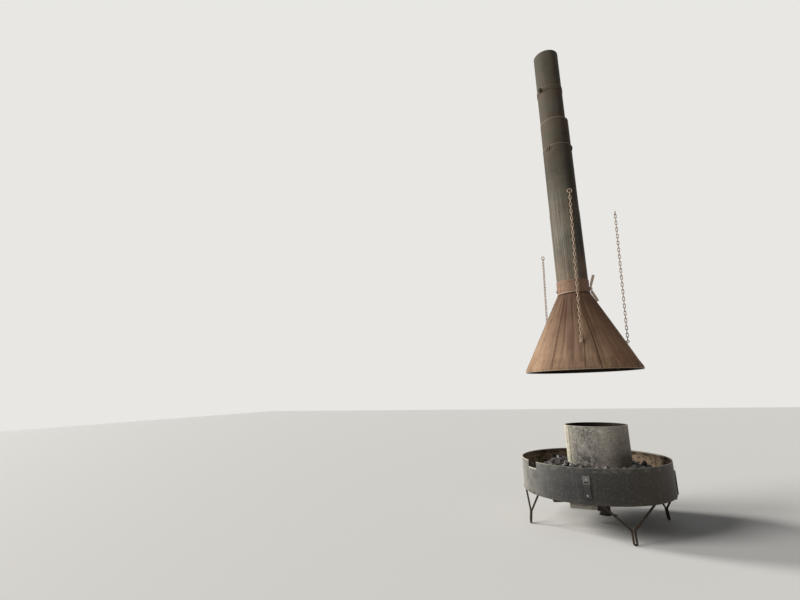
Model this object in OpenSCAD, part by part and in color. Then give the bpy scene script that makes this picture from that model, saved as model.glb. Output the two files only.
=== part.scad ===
// Round workshop forge: a plate hearth pan on hairpin legs, an open fire drum
// standing in it, and a conical smoke hood with a sectional stack above.
// Units are millimetres. +Z is up, the origin is on the floor under the centre
// of the pan, -Y is the working side and +X points at the damper lever.

/* [Hearth pan] */
// Outer radius of the pan wall
pan_r = 852; // [700:1:1000]
// Height of the pan rim above the floor
rim_z = 750; // [650:1:900]
// Height of the underside of the pan above the floor
pan_base_z = 376; // [300:1:450]
// Thickness of the pan plate
pan_t = 6; // [5:1:10]
// Direction of the tool notch in the rim, in degrees
notch_at = -143; // [-170:1:-120]
// Width of the tool notch, in degrees
notch_w = 11.5; // [6:0.5:20]
// Depth of the tool notch
notch_depth = 74; // [30:1:120]
// Direction of the front butt strap, in degrees
strap_at = -96; // [-110:1:-85]
// Width of the butt strap
strap_w = 70; // [50:1:90]
// Height of the butt strap
strap_h = 226; // [150:1:300]
// Height of the lower end of the butt strap above the underside of the pan
strap_rise = 66; // [20:1:120]
// Height of the butt straps at the two sides
side_strap_h = 250; // [180:1:280]
// Height of the lower end of the side straps above the underside of the pan
side_strap_rise = 10; // [0:1:60]

/* [Legs] */
// Number of hairpin legs
leg_count = 4; // [3:1:4]
// Direction of the first leg, in degrees
leg_at = 22; // [18:1:26]
// Diameter of the round bar of the legs
leg_bar = 22; // [16:1:28]
// Spread of one hairpin where it meets the pan
leg_spread = 540; // [400:10:540]
// Height at which the two bars of a hairpin come together
leg_knee_z = 140; // [100:1:180]
// Distance from the outside of the pan wall in to the leg plane
leg_inset = 57; // [57:1:80]
// How far the foot stands out beyond the top of the leg
leg_out = 41; // [20:1:50]

/* [Fire drum] */
// Outer radius of the fire drum
drum_r = 366; // [300:1:420]
// Height of the drum rim above the floor
drum_top_z = 1140; // [950:1:1250]
// Thickness of the drum sheet
drum_t = 5; // [4:1:8]
// Sideways place of the drum in the pan
drum_x = 74; // [-100:1:100]
// Direction of the vertical seam of the drum, in degrees
drum_seam_at = -158; // [-175:1:-130]

/* [Hood] */
// Outer radius of the hood at its lower edge
hood_r = 710; // [600:1:850]
// Height of the lower edge of the hood above the floor
hood_z = 1806; // [1650:1:2000]
// Height of the hood cone above that edge
hood_h = 1029; // [800:1:1200]
// Thickness of the hood sheet
hood_t = 3; // [3:1:5]
// Number of sheet gores of the hood
gore_count = 8; // [8:1:12]
// Direction of one gore seam, in degrees
gore_at = -74; // [-90:1:-60]

/* [Stack] */
// Outer radius of the lowest stack length
stack_r = 200; // [150:1:220]
// Thickness of the stack sheet
stack_t = 3; // [3:1:5]
// Height of the collar band between hood and stack
collar_h = 175; // [120:1:220]
// Length of the first stack length, from the hood to the second
length_1 = 1175; // [900:1:1400]
// Length of the second stack length, up to the lugged joint
length_2 = 1010; // [700:1:1200]
// Length of the third stack length, up to the reducer
length_3 = 420; // [300:1:600]
// Length of the fourth stack length, up to the clamp band
length_4 = 560; // [400:1:900]
// Length of the fifth stack length, up to the open end
length_5 = 600; // [400:1:900]
// Step in radius from the wide stack down to the narrow one
narrow_step = 24; // [24:1:50]
// Sideways shift of the narrow stack, whose left side runs on nearly flush
narrow_shift = -14; // [-14:1:0]

/* [Chains] */
// Number of links in the front chain
links_front = 40; // [30:1:50]
// Number of links in the right chain
links_right = 36; // [26:1:50]
// Number of links in the left chain
links_left = 28; // [26:1:50]
// Inner length of one link, which is the pitch of the chain
link_pitch = 48; // [42:1:52]
// Wire diameter of the links
link_wire = 9; // [7:1:10]

/* [Part to show] */
// Node to build, or all

/* [Hidden] */
$fn = 96;
// Overshoot of a cutter past the face it cuts
over = 1;
// Gap left between links so that they stay separate solids
link_gap = 0.4;
// Gap between moving damper parts and the flue
flue_gap = 8;
// Running gap between the spindle and its bores
run_gap = 0.3;
// Gap under a pad that seats on a curved sheet
seat_gap = 0.3;

// Pan
wall_in_r = pan_r - pan_t;
floor_top_z = pan_base_z + pan_t;
butt_gap = 2;
strap_t = 12;
slot_w = 45;
slot_h = 14;
slot_drop = 66;
notch_reach = 20;
plates_a_side = 2;
plate_turn = 180 / plates_a_side;

// Underframe
bearer_w = 50;
bearer_t = 26;
bearer_share = 0.56;
bearer_half = bearer_share * wall_in_r;
bearer_z = pan_base_z - bearer_t;
bearer_len = 2 * sqrt(wall_in_r * wall_in_r - pow(bearer_half + bearer_w / 2, 2));

// Legs
knee_swell = 1.5;
leg_r = pan_r - leg_inset;
foot_flat = 2;
hairpin_bend = leg_bar * 0.75;

// Fire pot under the drum
pot_r = 110;
pot_t = 8;
pot_z = 236;
flange_r = 160;
flange_t = 10;
blast_r = 42;
blast_t = 4;
blast_z = 168;
trunk_r = 60;
trunk_bottom_z = 92;
gate_t = 6;
gate_rim = 12;
handle_w = 24;
handle_out = 70;
blast_len = 394;
socket_r = blast_r - 1;
socket_reach = 24;
socket_end = trunk_r + socket_reach;
socket_show = 10;

// Drum
drum_in_r = drum_r - drum_t;
grate_z = 880;
grate_t = 12;
grate_bar_w = 18;
grate_pitch = 40;
coke_z = grate_z + grate_t;
coke_top_z = 1015;
coke_edge_drop = 40;
coke_shoulder_drop = 10;
coke_shoulder = 0.6;
coal_wall_z = 515;
coal_drum_z = 690;
heap_foot = 120;
heap_foot_drop = 30;
lump_count = 90;
lump_edge = 46;
lump_kinds = 5;
lump_step = 7;
lump_sunk = 0.12;
golden_angle = 137.508;
heap_top = 90;
seam_clear = 3;
bead_h = 9;
bead_out = 2.5;
drum_seam_t = 5;
drum_seam_w = 124;

// Hood
rim_band_h = 28;
rim_band_t = 5;
gore_gap_deg = 0.2;
cone_z = hood_z + rim_band_h;
collar_z = hood_z + hood_h;
collar_t = 6;
collar_r = stack_r + collar_t;
cone_top_r = collar_r;
cone_slope = (hood_r - cone_top_r) / (collar_z - cone_z);
cone_len = sqrt(1 + cone_slope * cone_slope);
hood_wall = hood_t * cone_len;
cone_lean = atan(cone_slope);
gore_step = 360 / gore_count;
seam_deg = 1.8;
seam_t = 2;
seam_foot = 12;
seam_top = 90;

// Stack
joint_1_z = collar_z + length_1;
joint_2_z = joint_1_z + length_2;
joint_3_z = joint_2_z + length_3;
joint_4_z = joint_3_z + length_4;
narrow_r = stack_r - narrow_step;
second_r = stack_r - stack_t;
third_r = second_r - stack_t;
lap = 60;
crimp = 1;
crimp_show = 12;
top_r = narrow_r - stack_t + crimp;
reducer_t = 5;
reducer_dip = 20;
band_h = 66;
band_z = joint_4_z - band_h;
band_t = 5;
ear_inset = 4;
ear_at = -130;
ear_out = 34;
ear_t = 6;
ear_gap = 14;
lug_count = 3;
lug_at = -128;
lug_deg = 17;
lug_h = 56;
lug_drop = 6;
lug_t = 9;

// Damper
damper_rise = 58;
damper_z = collar_z + damper_rise;
spindle_r = 9;
blade_r = stack_r - stack_t - flue_gap;
blade_t = 4;
hub_r = 20;
hub_t = 16;
lever_w = 34;
lever_t = 8;
lever_arm = 195;
lever_splay = [19, 24];
lever_root = -5;
boss_r = 24;
boss_out = 6;
boss_root = 2;
hub_gap = 1.3;
hub_x = collar_r + boss_out + hub_gap;
spindle_show = 4;
spindle_tail = 8;
spindle_from = collar_r + boss_out + spindle_tail;
spindle_to = hub_x + hub_t + spindle_show;

// Chains
eye_rise = 341;
eye_z = hood_z + eye_rise;
eye_r = 15;
eye_wire = 10;
eye_plate_d = 44;
eye_plate_t = 5;
eye_out = eye_r + eye_wire / 2 + 1;
chain_lean = 2;
chain_at = [-87.4, 0, 137];
chain_links = [links_front, links_right, links_left];
link_w = 14;
hook_r = 26;
hook_wire = 11;

module tube(r, t, z0, z1) {
  translate([0, 0, z0])
    difference() {
      cylinder(r = r, h = z1 - z0);
      translate([0, 0, -over]) cylinder(r = r - t, h = z1 - z0 + 2 * over);
    }
}

// Part of a ring between two directions
module ring_part(r_in, r_out, z0, z1, from, sweep) {
  translate([0, 0, z0])
    rotate([0, 0, from])
      rotate_extrude(angle = sweep) translate([r_in, 0]) square([r_out - r_in, z1 - z0]);
}

// Hearth pan

module notch_cut() {
  from_r = pan_r - notch_reach;
  to_r = pan_r + notch_reach;
  ring_part(from_r, to_r, rim_z - notch_depth, rim_z + over, notch_at - notch_w / 2, notch_w);
}

butt_deg = butt_gap / pan_r * 180 / PI;

// Rolled quarter plates that stand end to end with a narrow gap
module wall_plates(from) {
  for (i = [0:plates_a_side - 1])
    rotate([0, 0, i * plate_turn])
      ring_part(wall_in_r, pan_r, pan_base_z, rim_z, from + butt_deg / 2, plate_turn - butt_deg);
}

module pan_wall_left() {
  color("dimgray")
    difference() {
      wall_plates(strap_at + 2 * plate_turn);
      notch_cut();
    }
}

module pan_wall_right() {
  color("dimgray")
    wall_plates(strap_at);
}

module pan_floor() {
  color("dimgray")
    difference() {
      translate([0, 0, pan_base_z]) cylinder(r = wall_in_r, h = pan_t);
      translate([drum_x, 0, pan_base_z - over]) cylinder(r = pot_r, h = pan_t + 2 * over);
    }
}

// A butt strap over the gap between two plates, with a slot near its top
module strap(at, rise, height) {
  sweep = strap_w / pan_r * 180 / PI;
  low = pan_base_z + rise;
  color("slategray")
    difference() {
      ring_part(pan_r, pan_r + strap_t, low, low + height, at - sweep / 2, sweep);
      rotate([0, 0, at])
        translate([pan_r + strap_t / 2, 0, low + height - slot_drop])
          cube([strap_t * 4, slot_w, slot_h], center = true);
    }
}

module strap_front() {
  strap(strap_at, strap_rise, strap_h);
}

module strap_back() {
  strap(strap_at + 2 * plate_turn, strap_rise, strap_h);
}

module strap_right() {
  strap(strap_at + plate_turn, side_strap_rise, side_strap_h);
}

module strap_left() {
  strap(strap_at + 3 * plate_turn, side_strap_rise, side_strap_h);
}

// Hairpin legs of bent round bar

module bar(a, b, d) {
  v = b - a;
  len = norm(v);
  translate(a)
    rotate([0, acos(v[2] / len), atan2(v[1], v[0])])
      cylinder(d = d, h = len);
}

// The two bars splay out to the rim and the whole leg leans out to its foot
module hairpin(at) {
  half = leg_spread / 2;
  bend = hairpin_bend;
  lean = atan(leg_out / pan_base_z);
  knee = (leg_knee_z - pan_base_z) / cos(lean);
  foot = (leg_bar / 2 - foot_flat - pan_base_z) / cos(lean) + bend;
  run = leg_bar * (bend - half) / knee;
  color("saddlebrown")
    rotate([0, 0, at])
      translate([leg_r, 0, pan_base_z])
        difference() {
          rotate([0, -lean, 0]) {
            for (side = [-1, 1]) {
              bar([0, side * (half + run), leg_bar], [0, side * bend, knee], leg_bar);
              bar([0, side * bend, knee], [0, side * bend, foot], leg_bar);
              translate([0, side * bend, knee]) sphere(d = leg_bar + knee_swell);
            }
            translate([0, 0, foot])
              rotate([-90, 0, 90])
                rotate_extrude(angle = 180) translate([bend, 0]) circle(d = leg_bar);
          }
          translate([0, -leg_bar * 3, -pan_base_z - leg_bar]) cube([leg_bar * 4, leg_bar * 6, leg_bar]);
          translate([-leg_bar * 2, -leg_spread, 0]) cube([leg_bar * 4, leg_spread * 2, leg_bar * 3]);
        }
}

leg_step = 360 / leg_count;

module leg_1() {
  hairpin(leg_at);
}

module leg_2() {
  hairpin(leg_at + leg_step);
}

module leg_3() {
  hairpin(leg_at + 2 * leg_step);
}

module leg_4() {
  hairpin(leg_at + 3 * leg_step);
}

// Two bars under the pan, in line with the first leg and the one opposite
module bearers() {
  color("dimgray")
    rotate([0, 0, leg_at])
      for (side = [-1, 1])
        translate([-bearer_len / 2, side * bearer_half - bearer_w / 2, bearer_z])
          cube([bearer_len, bearer_w, bearer_t]);
}

// Fire pot, air trunk, ash gate and blast pipe under the drum

module fire_pot() {
  color("dimgray")
    translate([drum_x, 0, 0])
      difference() {
        union() {
          translate([0, 0, pan_base_z + pan_t]) cylinder(r = flange_r, h = flange_t);
          translate([0, 0, pot_z]) cylinder(r = pot_r, h = pan_base_z + pan_t - pot_z);
        }
        translate([0, 0, pot_z + pot_t]) cylinder(r = pot_r - pot_t, h = pan_base_z);
        translate([0, 0, pot_z - over]) cylinder(r = trunk_r - pot_t, h = pot_t + 2 * over);
      }
}

module air_trunk() {
  color("dimgray")
    translate([drum_x, 0, 0])
      difference() {
        union() {
          translate([0, 0, trunk_bottom_z]) cylinder(r = trunk_r, h = pot_z - trunk_bottom_z);
          translate([0, 0, blast_z]) rotate([0, -90, 0]) cylinder(r = socket_r + pot_t, h = socket_end);
        }
        translate([0, 0, trunk_bottom_z - over])
          cylinder(r = trunk_r - pot_t, h = pot_z - trunk_bottom_z + 2 * over);
        translate([0, 0, blast_z]) rotate([0, -90, 0]) cylinder(r = socket_r, h = socket_end + over);
      }
}

module ash_gate() {
  color("dimgray")
    translate([drum_x, 0, trunk_bottom_z - gate_t]) {
      cylinder(r = trunk_r + gate_rim, h = gate_t);
      translate([0, -handle_w / 2, 0]) cube([trunk_r + handle_out, handle_w, gate_t]);
    }
}

// The end in the socket is turned down
module blast_pipe() {
  color("gray")
    translate([drum_x, 0, blast_z])
      rotate([0, -90, 0])
        difference() {
          union() {
            translate([0, 0, socket_end + socket_show])
              cylinder(r = blast_r, h = blast_len - socket_end - socket_show);
            translate([0, 0, trunk_r]) cylinder(r = socket_r, h = socket_end + socket_show - trunk_r);
          }
          cylinder(r = blast_r - blast_t, h = blast_len + over);
        }
}

// Coal in the pan, drum, grate and coke

// Height of the heap at a distance from the middle of the pan
function heap_z(r) = lookup(r, [
  [drum_r - heap_top, coal_drum_z],
  [drum_r + heap_foot, coal_drum_z - heap_foot_drop],
  [wall_in_r, coal_wall_z]
]);

// Larger lumps, spread by the golden angle and half sunk in the heap
module coal_lumps() {
  first_r = drum_r - drum_x + lump_edge;
  last_r = wall_in_r - lump_edge * 1.2;
  for (i = [0:lump_count - 1]) {
    r = sqrt(first_r * first_r + (i + 0.5) / lump_count * (last_r * last_r - first_r * first_r));
    turn = i * golden_angle;
    side = lump_edge + (i * 7 % lump_kinds) * lump_step;
    if (norm([r * cos(turn) - drum_x, r * sin(turn)]) > drum_r + side)
      rotate([0, 0, turn])
        translate([r, 0, heap_z(r) - side * lump_sunk])
          rotate([i * 29 % 90, 20 + i * 17 % 50, i * 41 % 90])
            cube(side, center = true);
  }
}

module coal_bed() {
  color("black")
    difference() {
      union() {
        rotate_extrude()
          polygon([
            [0, floor_top_z], [wall_in_r, floor_top_z], [wall_in_r, coal_wall_z],
            [drum_r + heap_foot, coal_drum_z - heap_foot_drop], [drum_r - heap_top, coal_drum_z],
            [0, coal_drum_z]
          ]);
        coal_lumps();
      }
      translate([drum_x, 0, floor_top_z - over]) cylinder(r = drum_r, h = rim_z);
    }
}

module drum_shell() {
  color("gray")
    translate([drum_x, 0, 0])
      tube(drum_r, drum_t, floor_top_z, drum_top_z - bead_h);
}

module drum_seam() {
  sweep = drum_seam_w / drum_r * 180 / PI;
  color("lightgray")
    translate([drum_x, 0, 0])
      ring_part(drum_r, drum_r + drum_seam_t, coal_drum_z + seam_clear, drum_top_z - bead_h - seam_clear,
        drum_seam_at - sweep / 2, sweep);
}

module drum_bead() {
  color("lightgray")
    translate([drum_x, 0, 0])
      tube(drum_r + bead_out, drum_t + 2 * bead_out, drum_top_z - bead_h, drum_top_z);
}

module grate() {
  rows = floor(drum_in_r / grate_pitch);
  color("dimgray")
    translate([drum_x, 0, grate_z])
      intersection() {
        cylinder(r = drum_in_r, h = grate_t);
        union() {
          for (i = [-rows:rows])
            translate([-drum_in_r, i * grate_pitch - grate_bar_w / 2, 0])
              cube([2 * drum_in_r, grate_bar_w, grate_t]);
          for (side = [-1, 1])
            translate([side * drum_in_r / 2 - grate_bar_w / 2, -drum_in_r, 0])
              cube([grate_bar_w, 2 * drum_in_r, grate_t]);
        }
      }
}

module coke_bed() {
  color("black")
    translate([drum_x, 0, 0])
      rotate_extrude()
        polygon([
          [0, coke_z], [drum_in_r, coke_z], [drum_in_r, coke_top_z - coke_edge_drop],
          [drum_in_r * coke_shoulder, coke_top_z - coke_shoulder_drop], [0, coke_top_z]
        ]);
}

// Hood of lapped sheet gores

function cone_r(z) = hood_r - cone_slope * (z - cone_z);

module cone_strip(outer, wall, from, sweep, z0, z1) {
  // outer is the offset of the outside face from the hood face
  r0 = cone_r(z0) + outer;
  r1 = cone_r(z1) + outer;
  rotate([0, 0, from])
    rotate_extrude(angle = sweep)
      polygon([[r0 - wall, z0], [r0, z0], [r1, z1], [r1 - wall, z1]]);
}

module hood_gores() {
  color("peru")
    for (i = [0:gore_count - 1])
      cone_strip(0, hood_wall, gore_at + i * gore_step + gore_gap_deg / 2, gore_step - gore_gap_deg,
        cone_z, collar_z);
}

module hood_seams() {
  color("peru")
    for (i = [0:gore_count - 1])
      cone_strip(seam_t * cone_len, seam_t * cone_len, gore_at + i * gore_step - seam_deg / 2, seam_deg,
        cone_z + seam_foot, collar_z - seam_top);
}

module hood_rim() {
  color("tan")
    translate([0, 0, hood_z])
      difference() {
        cylinder(r = hood_r, h = rim_band_h);
        translate([0, 0, -over]) cylinder(r = hood_r - rim_band_t, h = rim_band_h + 2 * over);
      }
}

module hood_collar() {
  color("sienna")
    difference() {
      tube(collar_r, collar_t, collar_z, collar_z + collar_h);
      spindle_cut(spindle_r + run_gap);
    }
}

module eye_at(at) {
  rotate([0, 0, at])
    translate([cone_r(eye_z), 0, eye_z])
      rotate([0, -cone_lean, 0]) {
        rotate([90, 0, 0])
          translate([eye_out, 0, 0])
            rotate_extrude() translate([eye_r, 0]) circle(d = eye_wire);
        rotate([0, 90, 0]) cylinder(d = eye_plate_d, h = eye_plate_t);
      }
}

// The plates lie on the sheet, so the cone cuts them off there
module hood_eyes() {
  color("dimgray")
    difference() {
      for (at = chain_at)
        eye_at(at);
      translate([0, 0, cone_z]) cylinder(r1 = hood_r, r2 = cone_top_r, h = collar_z - cone_z);
    }
}

// Stack lengths that slip one inside the other

module stack_1() {
  color("gray")
    difference() {
      tube(stack_r, stack_t, collar_z, joint_1_z);
      spindle_cut(spindle_r + run_gap);
    }
}

module stack_2() {
  color("gray") tube(second_r, stack_t, joint_1_z - lap, joint_2_z);
}

module stack_3() {
  color("gray") tube(third_r, stack_t, joint_2_z - lap, joint_3_z);
}

// Ring plate that carries the narrow stack on the wide one
module stack_reducer() {
  color("gray")
    difference() {
      translate([0, 0, joint_3_z]) cylinder(r = third_r, h = reducer_t);
      translate([narrow_shift, 0, joint_3_z - over]) cylinder(r = narrow_r, h = reducer_t + 2 * over);
    }
}

module stack_4() {
  color("gray") translate([narrow_shift, 0, 0]) tube(narrow_r, stack_t, joint_3_z - reducer_dip, joint_4_z);
}

// The lower end is crimped to slip into the length below
module stack_5() {
  color("gray")
    translate([narrow_shift, 0, 0])
      difference() {
        union() {
          translate([0, 0, joint_4_z + crimp_show]) cylinder(r = top_r, h = length_5 - crimp_show);
          translate([0, 0, joint_4_z - lap]) cylinder(r = top_r - crimp, h = lap + crimp_show);
        }
        translate([0, 0, joint_4_z - lap - over])
          cylinder(r = top_r - stack_t, h = length_5 + lap + 2 * over);
      }
}

// Clamp band round the joint, with two ears and their bolt
module stack_band() {
  color("slategray")
    translate([narrow_shift, 0, 0]) {
      tube(narrow_r + band_t, band_t, band_z, joint_4_z);
      rotate([0, 0, ear_at])
        for (side = [-1, 1])
          translate([narrow_r + band_t / 2, (side * (ear_gap + ear_t) - ear_t) / 2, band_z + ear_inset])
            cube([ear_out, ear_t, band_h - 2 * ear_inset]);
    }
}

module stack_lugs() {
  color("slategray")
    for (i = [0:lug_count - 1])
      ring_part(second_r, second_r + lug_t, joint_2_z - lug_h - lug_drop, joint_2_z - lug_drop,
        lug_at + i * 360 / lug_count - lug_deg / 2, lug_deg);
}

// Damper blade on a spindle across the collar, with a two-armed lever

module spindle_cut(r) {
  translate([-collar_r * 2, 0, damper_z]) rotate([0, 90, 0]) cylinder(r = r, h = collar_r * 4);
}

module damper_bosses() {
  color("dimgray")
    difference() {
      for (side = [-1, 1])
        translate([side * (collar_r - boss_root), 0, damper_z])
          rotate([0, side * 90, 0])
            cylinder(r = boss_r, h = boss_out + boss_root);
      cylinder(r = collar_r + seat_gap, h = joint_1_z);
      spindle_cut(spindle_r + run_gap);
    }
}

module damper_blade() {
  color("dimgray")
    translate([0, 0, damper_z])
      rotate([90, 0, 0])
        translate([0, 0, -blade_t / 2]) cylinder(r = blade_r, h = blade_t);
}

// The spindle is slotted for the blade
module damper_spindle() {
  color("gray")
    difference() {
      translate([-spindle_from, 0, damper_z])
        rotate([0, 90, 0]) cylinder(r = spindle_r, h = spindle_from + spindle_to);
      damper_blade();
    }
}

// Both arms lean away from the sheet and are cut flush with the inner face of the hub
module damper_lever() {
  color("lightgray")
    translate([hub_x, 0, damper_z])
      difference() {
        union() {
          rotate([0, 90, 0]) cylinder(r = hub_r, h = hub_t);
          for (k = [0, 1])
            rotate([k * 180, 0, 0])
              translate([lever_root, 0, 0])
                rotate([0, lever_splay[k], 0])
                  translate([-lever_w / 2, -lever_t / 2, 0]) cube([lever_w, lever_t, lever_arm]);
        }
        translate([-lever_w * 2, -hub_r, -lever_arm]) cube([lever_w * 2, hub_r * 2, lever_arm * 2]);
        rotate([0, 90, 0]) translate([0, 0, -hub_t * 2]) cylinder(r = spindle_r, h = hub_t * 4);
      }
}

// Chains that hold the hood from the roof

module link() {
  straight = link_pitch - link_w;
  r = (link_w + link_wire) / 2;
  for (end = [-1, 1])
    translate([0, 0, end * straight / 2])
      rotate([end * 90, 0, 0])
        rotate_extrude(angle = 180, $fn = 32) translate([r, 0]) circle(d = link_wire, $fn = 16);
  for (side = [-1, 1])
    translate([side * r, 0, -straight / 2]) cylinder(d = link_wire, h = straight, $fn = 16);
}

link_step = link_pitch - link_gap;

// Places its child on the centre line of a chain, at a height above the eye ring
module on_chain(at, up) {
  rotate([0, 0, at])
    translate([cone_r(eye_z) + eye_out * cos(cone_lean), 0, eye_z + eye_out * sin(cone_lean)])
      rotate([0, 0, -at])
        rotate([0, chain_lean, 0])
          translate([0, 0, eye_r - eye_wire / 2 - link_gap + up])
            rotate([0, 0, at])
              children();
}

module chain(k) {
  color("silver")
    for (i = [0:chain_links[k] - 1])
      on_chain(chain_at[k], link_pitch / 2 + i * link_step)
        rotate([0, 0, i % 2 == 0 ? 90 : 0])
          link();
}

module chain_front() {
  chain(0);
}

module chain_right() {
  chain(1);
}

module chain_left() {
  chain(2);
}

module chain_rings() {
  color("silver")
    for (k = [0:len(chain_at) - 1])
      on_chain(chain_at[k], link_pitch + (chain_links[k] - 1) * link_step + hook_r - hook_wire / 2 - link_gap)
        rotate([90, 0, chain_links[k] % 2 == 0 ? 90 : 0])
          rotate_extrude() translate([hook_r, 0]) circle(d = hook_wire);
}

pan_wall_left();
pan_wall_right();
pan_floor();
strap_front();
strap_back();
strap_right();
strap_left();
leg_1();
leg_2();
leg_3();
leg_4();
bearers();
fire_pot();
air_trunk();
ash_gate();
blast_pipe();
coal_bed();
drum_shell();
drum_seam();
drum_bead();
grate();
coke_bed();
hood_gores();
hood_seams();
hood_rim();
hood_collar();
hood_eyes();
stack_1();
stack_2();
stack_reducer();
stack_3();
stack_4();
stack_5();
stack_band();
stack_lugs();
damper_bosses();
damper_blade();
damper_spindle();
damper_lever();
chain_front();
chain_right();
chain_left();
chain_rings();
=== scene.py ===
# %% [markdown]
# # A round workshop forge
# This lesson dresses a forge: a plate pan on bent legs, a sheet drum that holds the fire, and a
# cone-shaped smoke hood that hangs under a tall stack. The solid shapes come ready made from the
# frame. Blender adds the small repeated parts, the dents and the finishes.

# %% Load the frame
import math
import bpy
import bmesh
from mathutils import Matrix, Vector, noise


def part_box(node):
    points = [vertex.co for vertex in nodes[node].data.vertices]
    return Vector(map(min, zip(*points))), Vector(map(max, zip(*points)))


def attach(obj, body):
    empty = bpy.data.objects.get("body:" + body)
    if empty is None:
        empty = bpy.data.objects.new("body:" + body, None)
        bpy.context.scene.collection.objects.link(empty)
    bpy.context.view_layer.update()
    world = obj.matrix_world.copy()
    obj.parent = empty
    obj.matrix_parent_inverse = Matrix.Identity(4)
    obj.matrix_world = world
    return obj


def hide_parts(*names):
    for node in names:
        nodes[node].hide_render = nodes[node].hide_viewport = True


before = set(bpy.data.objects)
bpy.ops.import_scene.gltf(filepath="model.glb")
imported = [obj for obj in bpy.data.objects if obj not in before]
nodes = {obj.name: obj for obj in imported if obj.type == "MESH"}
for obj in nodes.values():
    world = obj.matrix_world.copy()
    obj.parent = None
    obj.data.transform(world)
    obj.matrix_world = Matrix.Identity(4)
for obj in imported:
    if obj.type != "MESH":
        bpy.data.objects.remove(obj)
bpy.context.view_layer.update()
print("pieces in the frame:", len(nodes))

# %% [markdown]
# ## Camera
# The camera stands at eye height and looks up a little, so the stack leans with the wide lens. The
# place, heading, tilt and lens were worked out from the round edges of the pan, drum, hood and stack.
# A Track To constraint could aim it, but it would keep the horizon level. Building the camera's axes
# by hand keeps the slight roll of a hand-held camera.

# %% Aim the camera
EYE = Vector((0.0, -6.074, 1.6))
HEADING = math.radians(112.91)
TILT = math.radians(12.32)
ROLL = -0.0253
LENS_PIXELS = 421.16
PICTURE_WIDTH = 800
SENSOR_WIDTH = 36.0


def new_object(name, data):
    made = bpy.data.objects.new(name, data)
    bpy.context.scene.collection.objects.link(made)
    return made


def aim_camera():
    level = Vector((math.cos(HEADING), math.sin(HEADING), 0.0))
    forward = level * math.cos(TILT) + Vector((0.0, 0.0, math.sin(TILT)))
    right = forward.cross(Vector((0.0, 0.0, 1.0))).normalized()
    up = right.cross(forward)
    rolled_right = right * math.cos(ROLL) + up * math.sin(ROLL)
    rolled_up = up * math.cos(ROLL) - right * math.sin(ROLL)
    data = bpy.data.cameras.new("camera")
    data.sensor_width = SENSOR_WIDTH
    data.lens = SENSOR_WIDTH * LENS_PIXELS / PICTURE_WIDTH
    camera = new_object("camera", data)
    turn = Matrix((rolled_right, rolled_up, -forward)).transposed().to_4x4()
    camera.matrix_world = Matrix.Translation(EYE) @ turn
    bpy.context.scene.camera = camera
    return camera


camera = aim_camera()
print("lens in millimetres:", round(camera.data.lens, 2))

# %% [markdown]
# ## Node helpers
# Materials and Geometry Nodes are both trees of nodes. These small helpers keep the later cells
# short: one adds a node and fills its sockets, one does arithmetic, and others take a vector apart,
# put one together or change its length. A socket is filled with a plain value or with a link.

# %% Add and link nodes
def fill(tree, socket, value):
    if isinstance(value, bpy.types.NodeSocket):
        tree.links.new(value, socket)
    else:
        socket.default_value = value


def add(tree, kind, inputs=None, **settings):
    node = tree.nodes.new(kind)
    for name, value in settings.items():
        setattr(node, name, value)
    for name, value in (inputs or {}).items():
        fill(tree, node.inputs[name], value)
    return node


def maths(tree, operation, *values):
    node = add(tree, "ShaderNodeMath", operation=operation)
    for socket, value in zip(node.inputs, values):
        fill(tree, socket, value)
    return node.outputs[0]


def split(tree, vector):
    return add(tree, "ShaderNodeSeparateXYZ", {0: vector}).outputs


def join(tree, x=0.0, y=0.0, z=0.0):
    return add(tree, "ShaderNodeCombineXYZ", {0: x, 1: y, 2: z}).outputs[0]


def vectors(tree, operation, first, second):
    return add(tree, "ShaderNodeVectorMath", {0: first, 1: second}, operation=operation).outputs


def scaled(tree, vector, factor):
    return add(tree, "ShaderNodeVectorMath", {0: vector, "Scale": factor}, operation="SCALE").outputs[0]


# %% [markdown]
# Two more helpers are about colour. The Mix node keeps one set of sockets for each kind of value,
# all under the same names, so they are picked by number. Colours are written as a screen shows
# them and turned into the linear values that a shader works with.

# %% Mix values and write colours
# For each kind of value: the sockets of the share, of what lies under and over, and of the result.
MIX_SOCKETS = {"FLOAT": (0, 2, 3, 0), "RGBA": (0, 6, 7, 2)}


def mix(tree, kind, share, under, over):
    *given, result = MIX_SOCKETS[kind]
    node = add(tree, "ShaderNodeMix", data_type=kind, clamp_factor=True)
    for index, value in zip(given, (share, under, over)):
        fill(tree, node.inputs[index], value)
    return node.outputs[result]


def paint(red, green, blue):
    """A colour with levels from 0 to 255, through the curve of an sRGB screen."""
    linear = []
    for level in (red, green, blue):
        share = level / 255.0
        linear.append(share / 12.92 if share <= 0.04045 else ((share + 0.055) / 1.055) ** 2.4)
    return (*linear, 1.0)


# %% [markdown]
# ## Studio
# A pale floor keeps the object clear, and so does a pale surrounding that only the camera and
# reflections see. A low sun lamp from the left stands for the windows of a workshop, and a softer
# one fills in beside it. Their wide angles make the shadows soft, and a faint world light reaches
# the rest.

# %% Floor, world and lamps
WORLD_LIGHT = 0.08
PALE = paint(232, 231, 228)
FLOOR_HALF = 30.0
LAMPS = {
    "window_light": dict(azimuth=176.0, height=24.0, strength=2.5, spread=14.0, colour=(1.0, 0.97, 0.92)),
    "side_light": dict(azimuth=212.0, height=32.0, strength=2.0, spread=30.0, colour=(1.0, 0.99, 0.96)),
}


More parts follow.
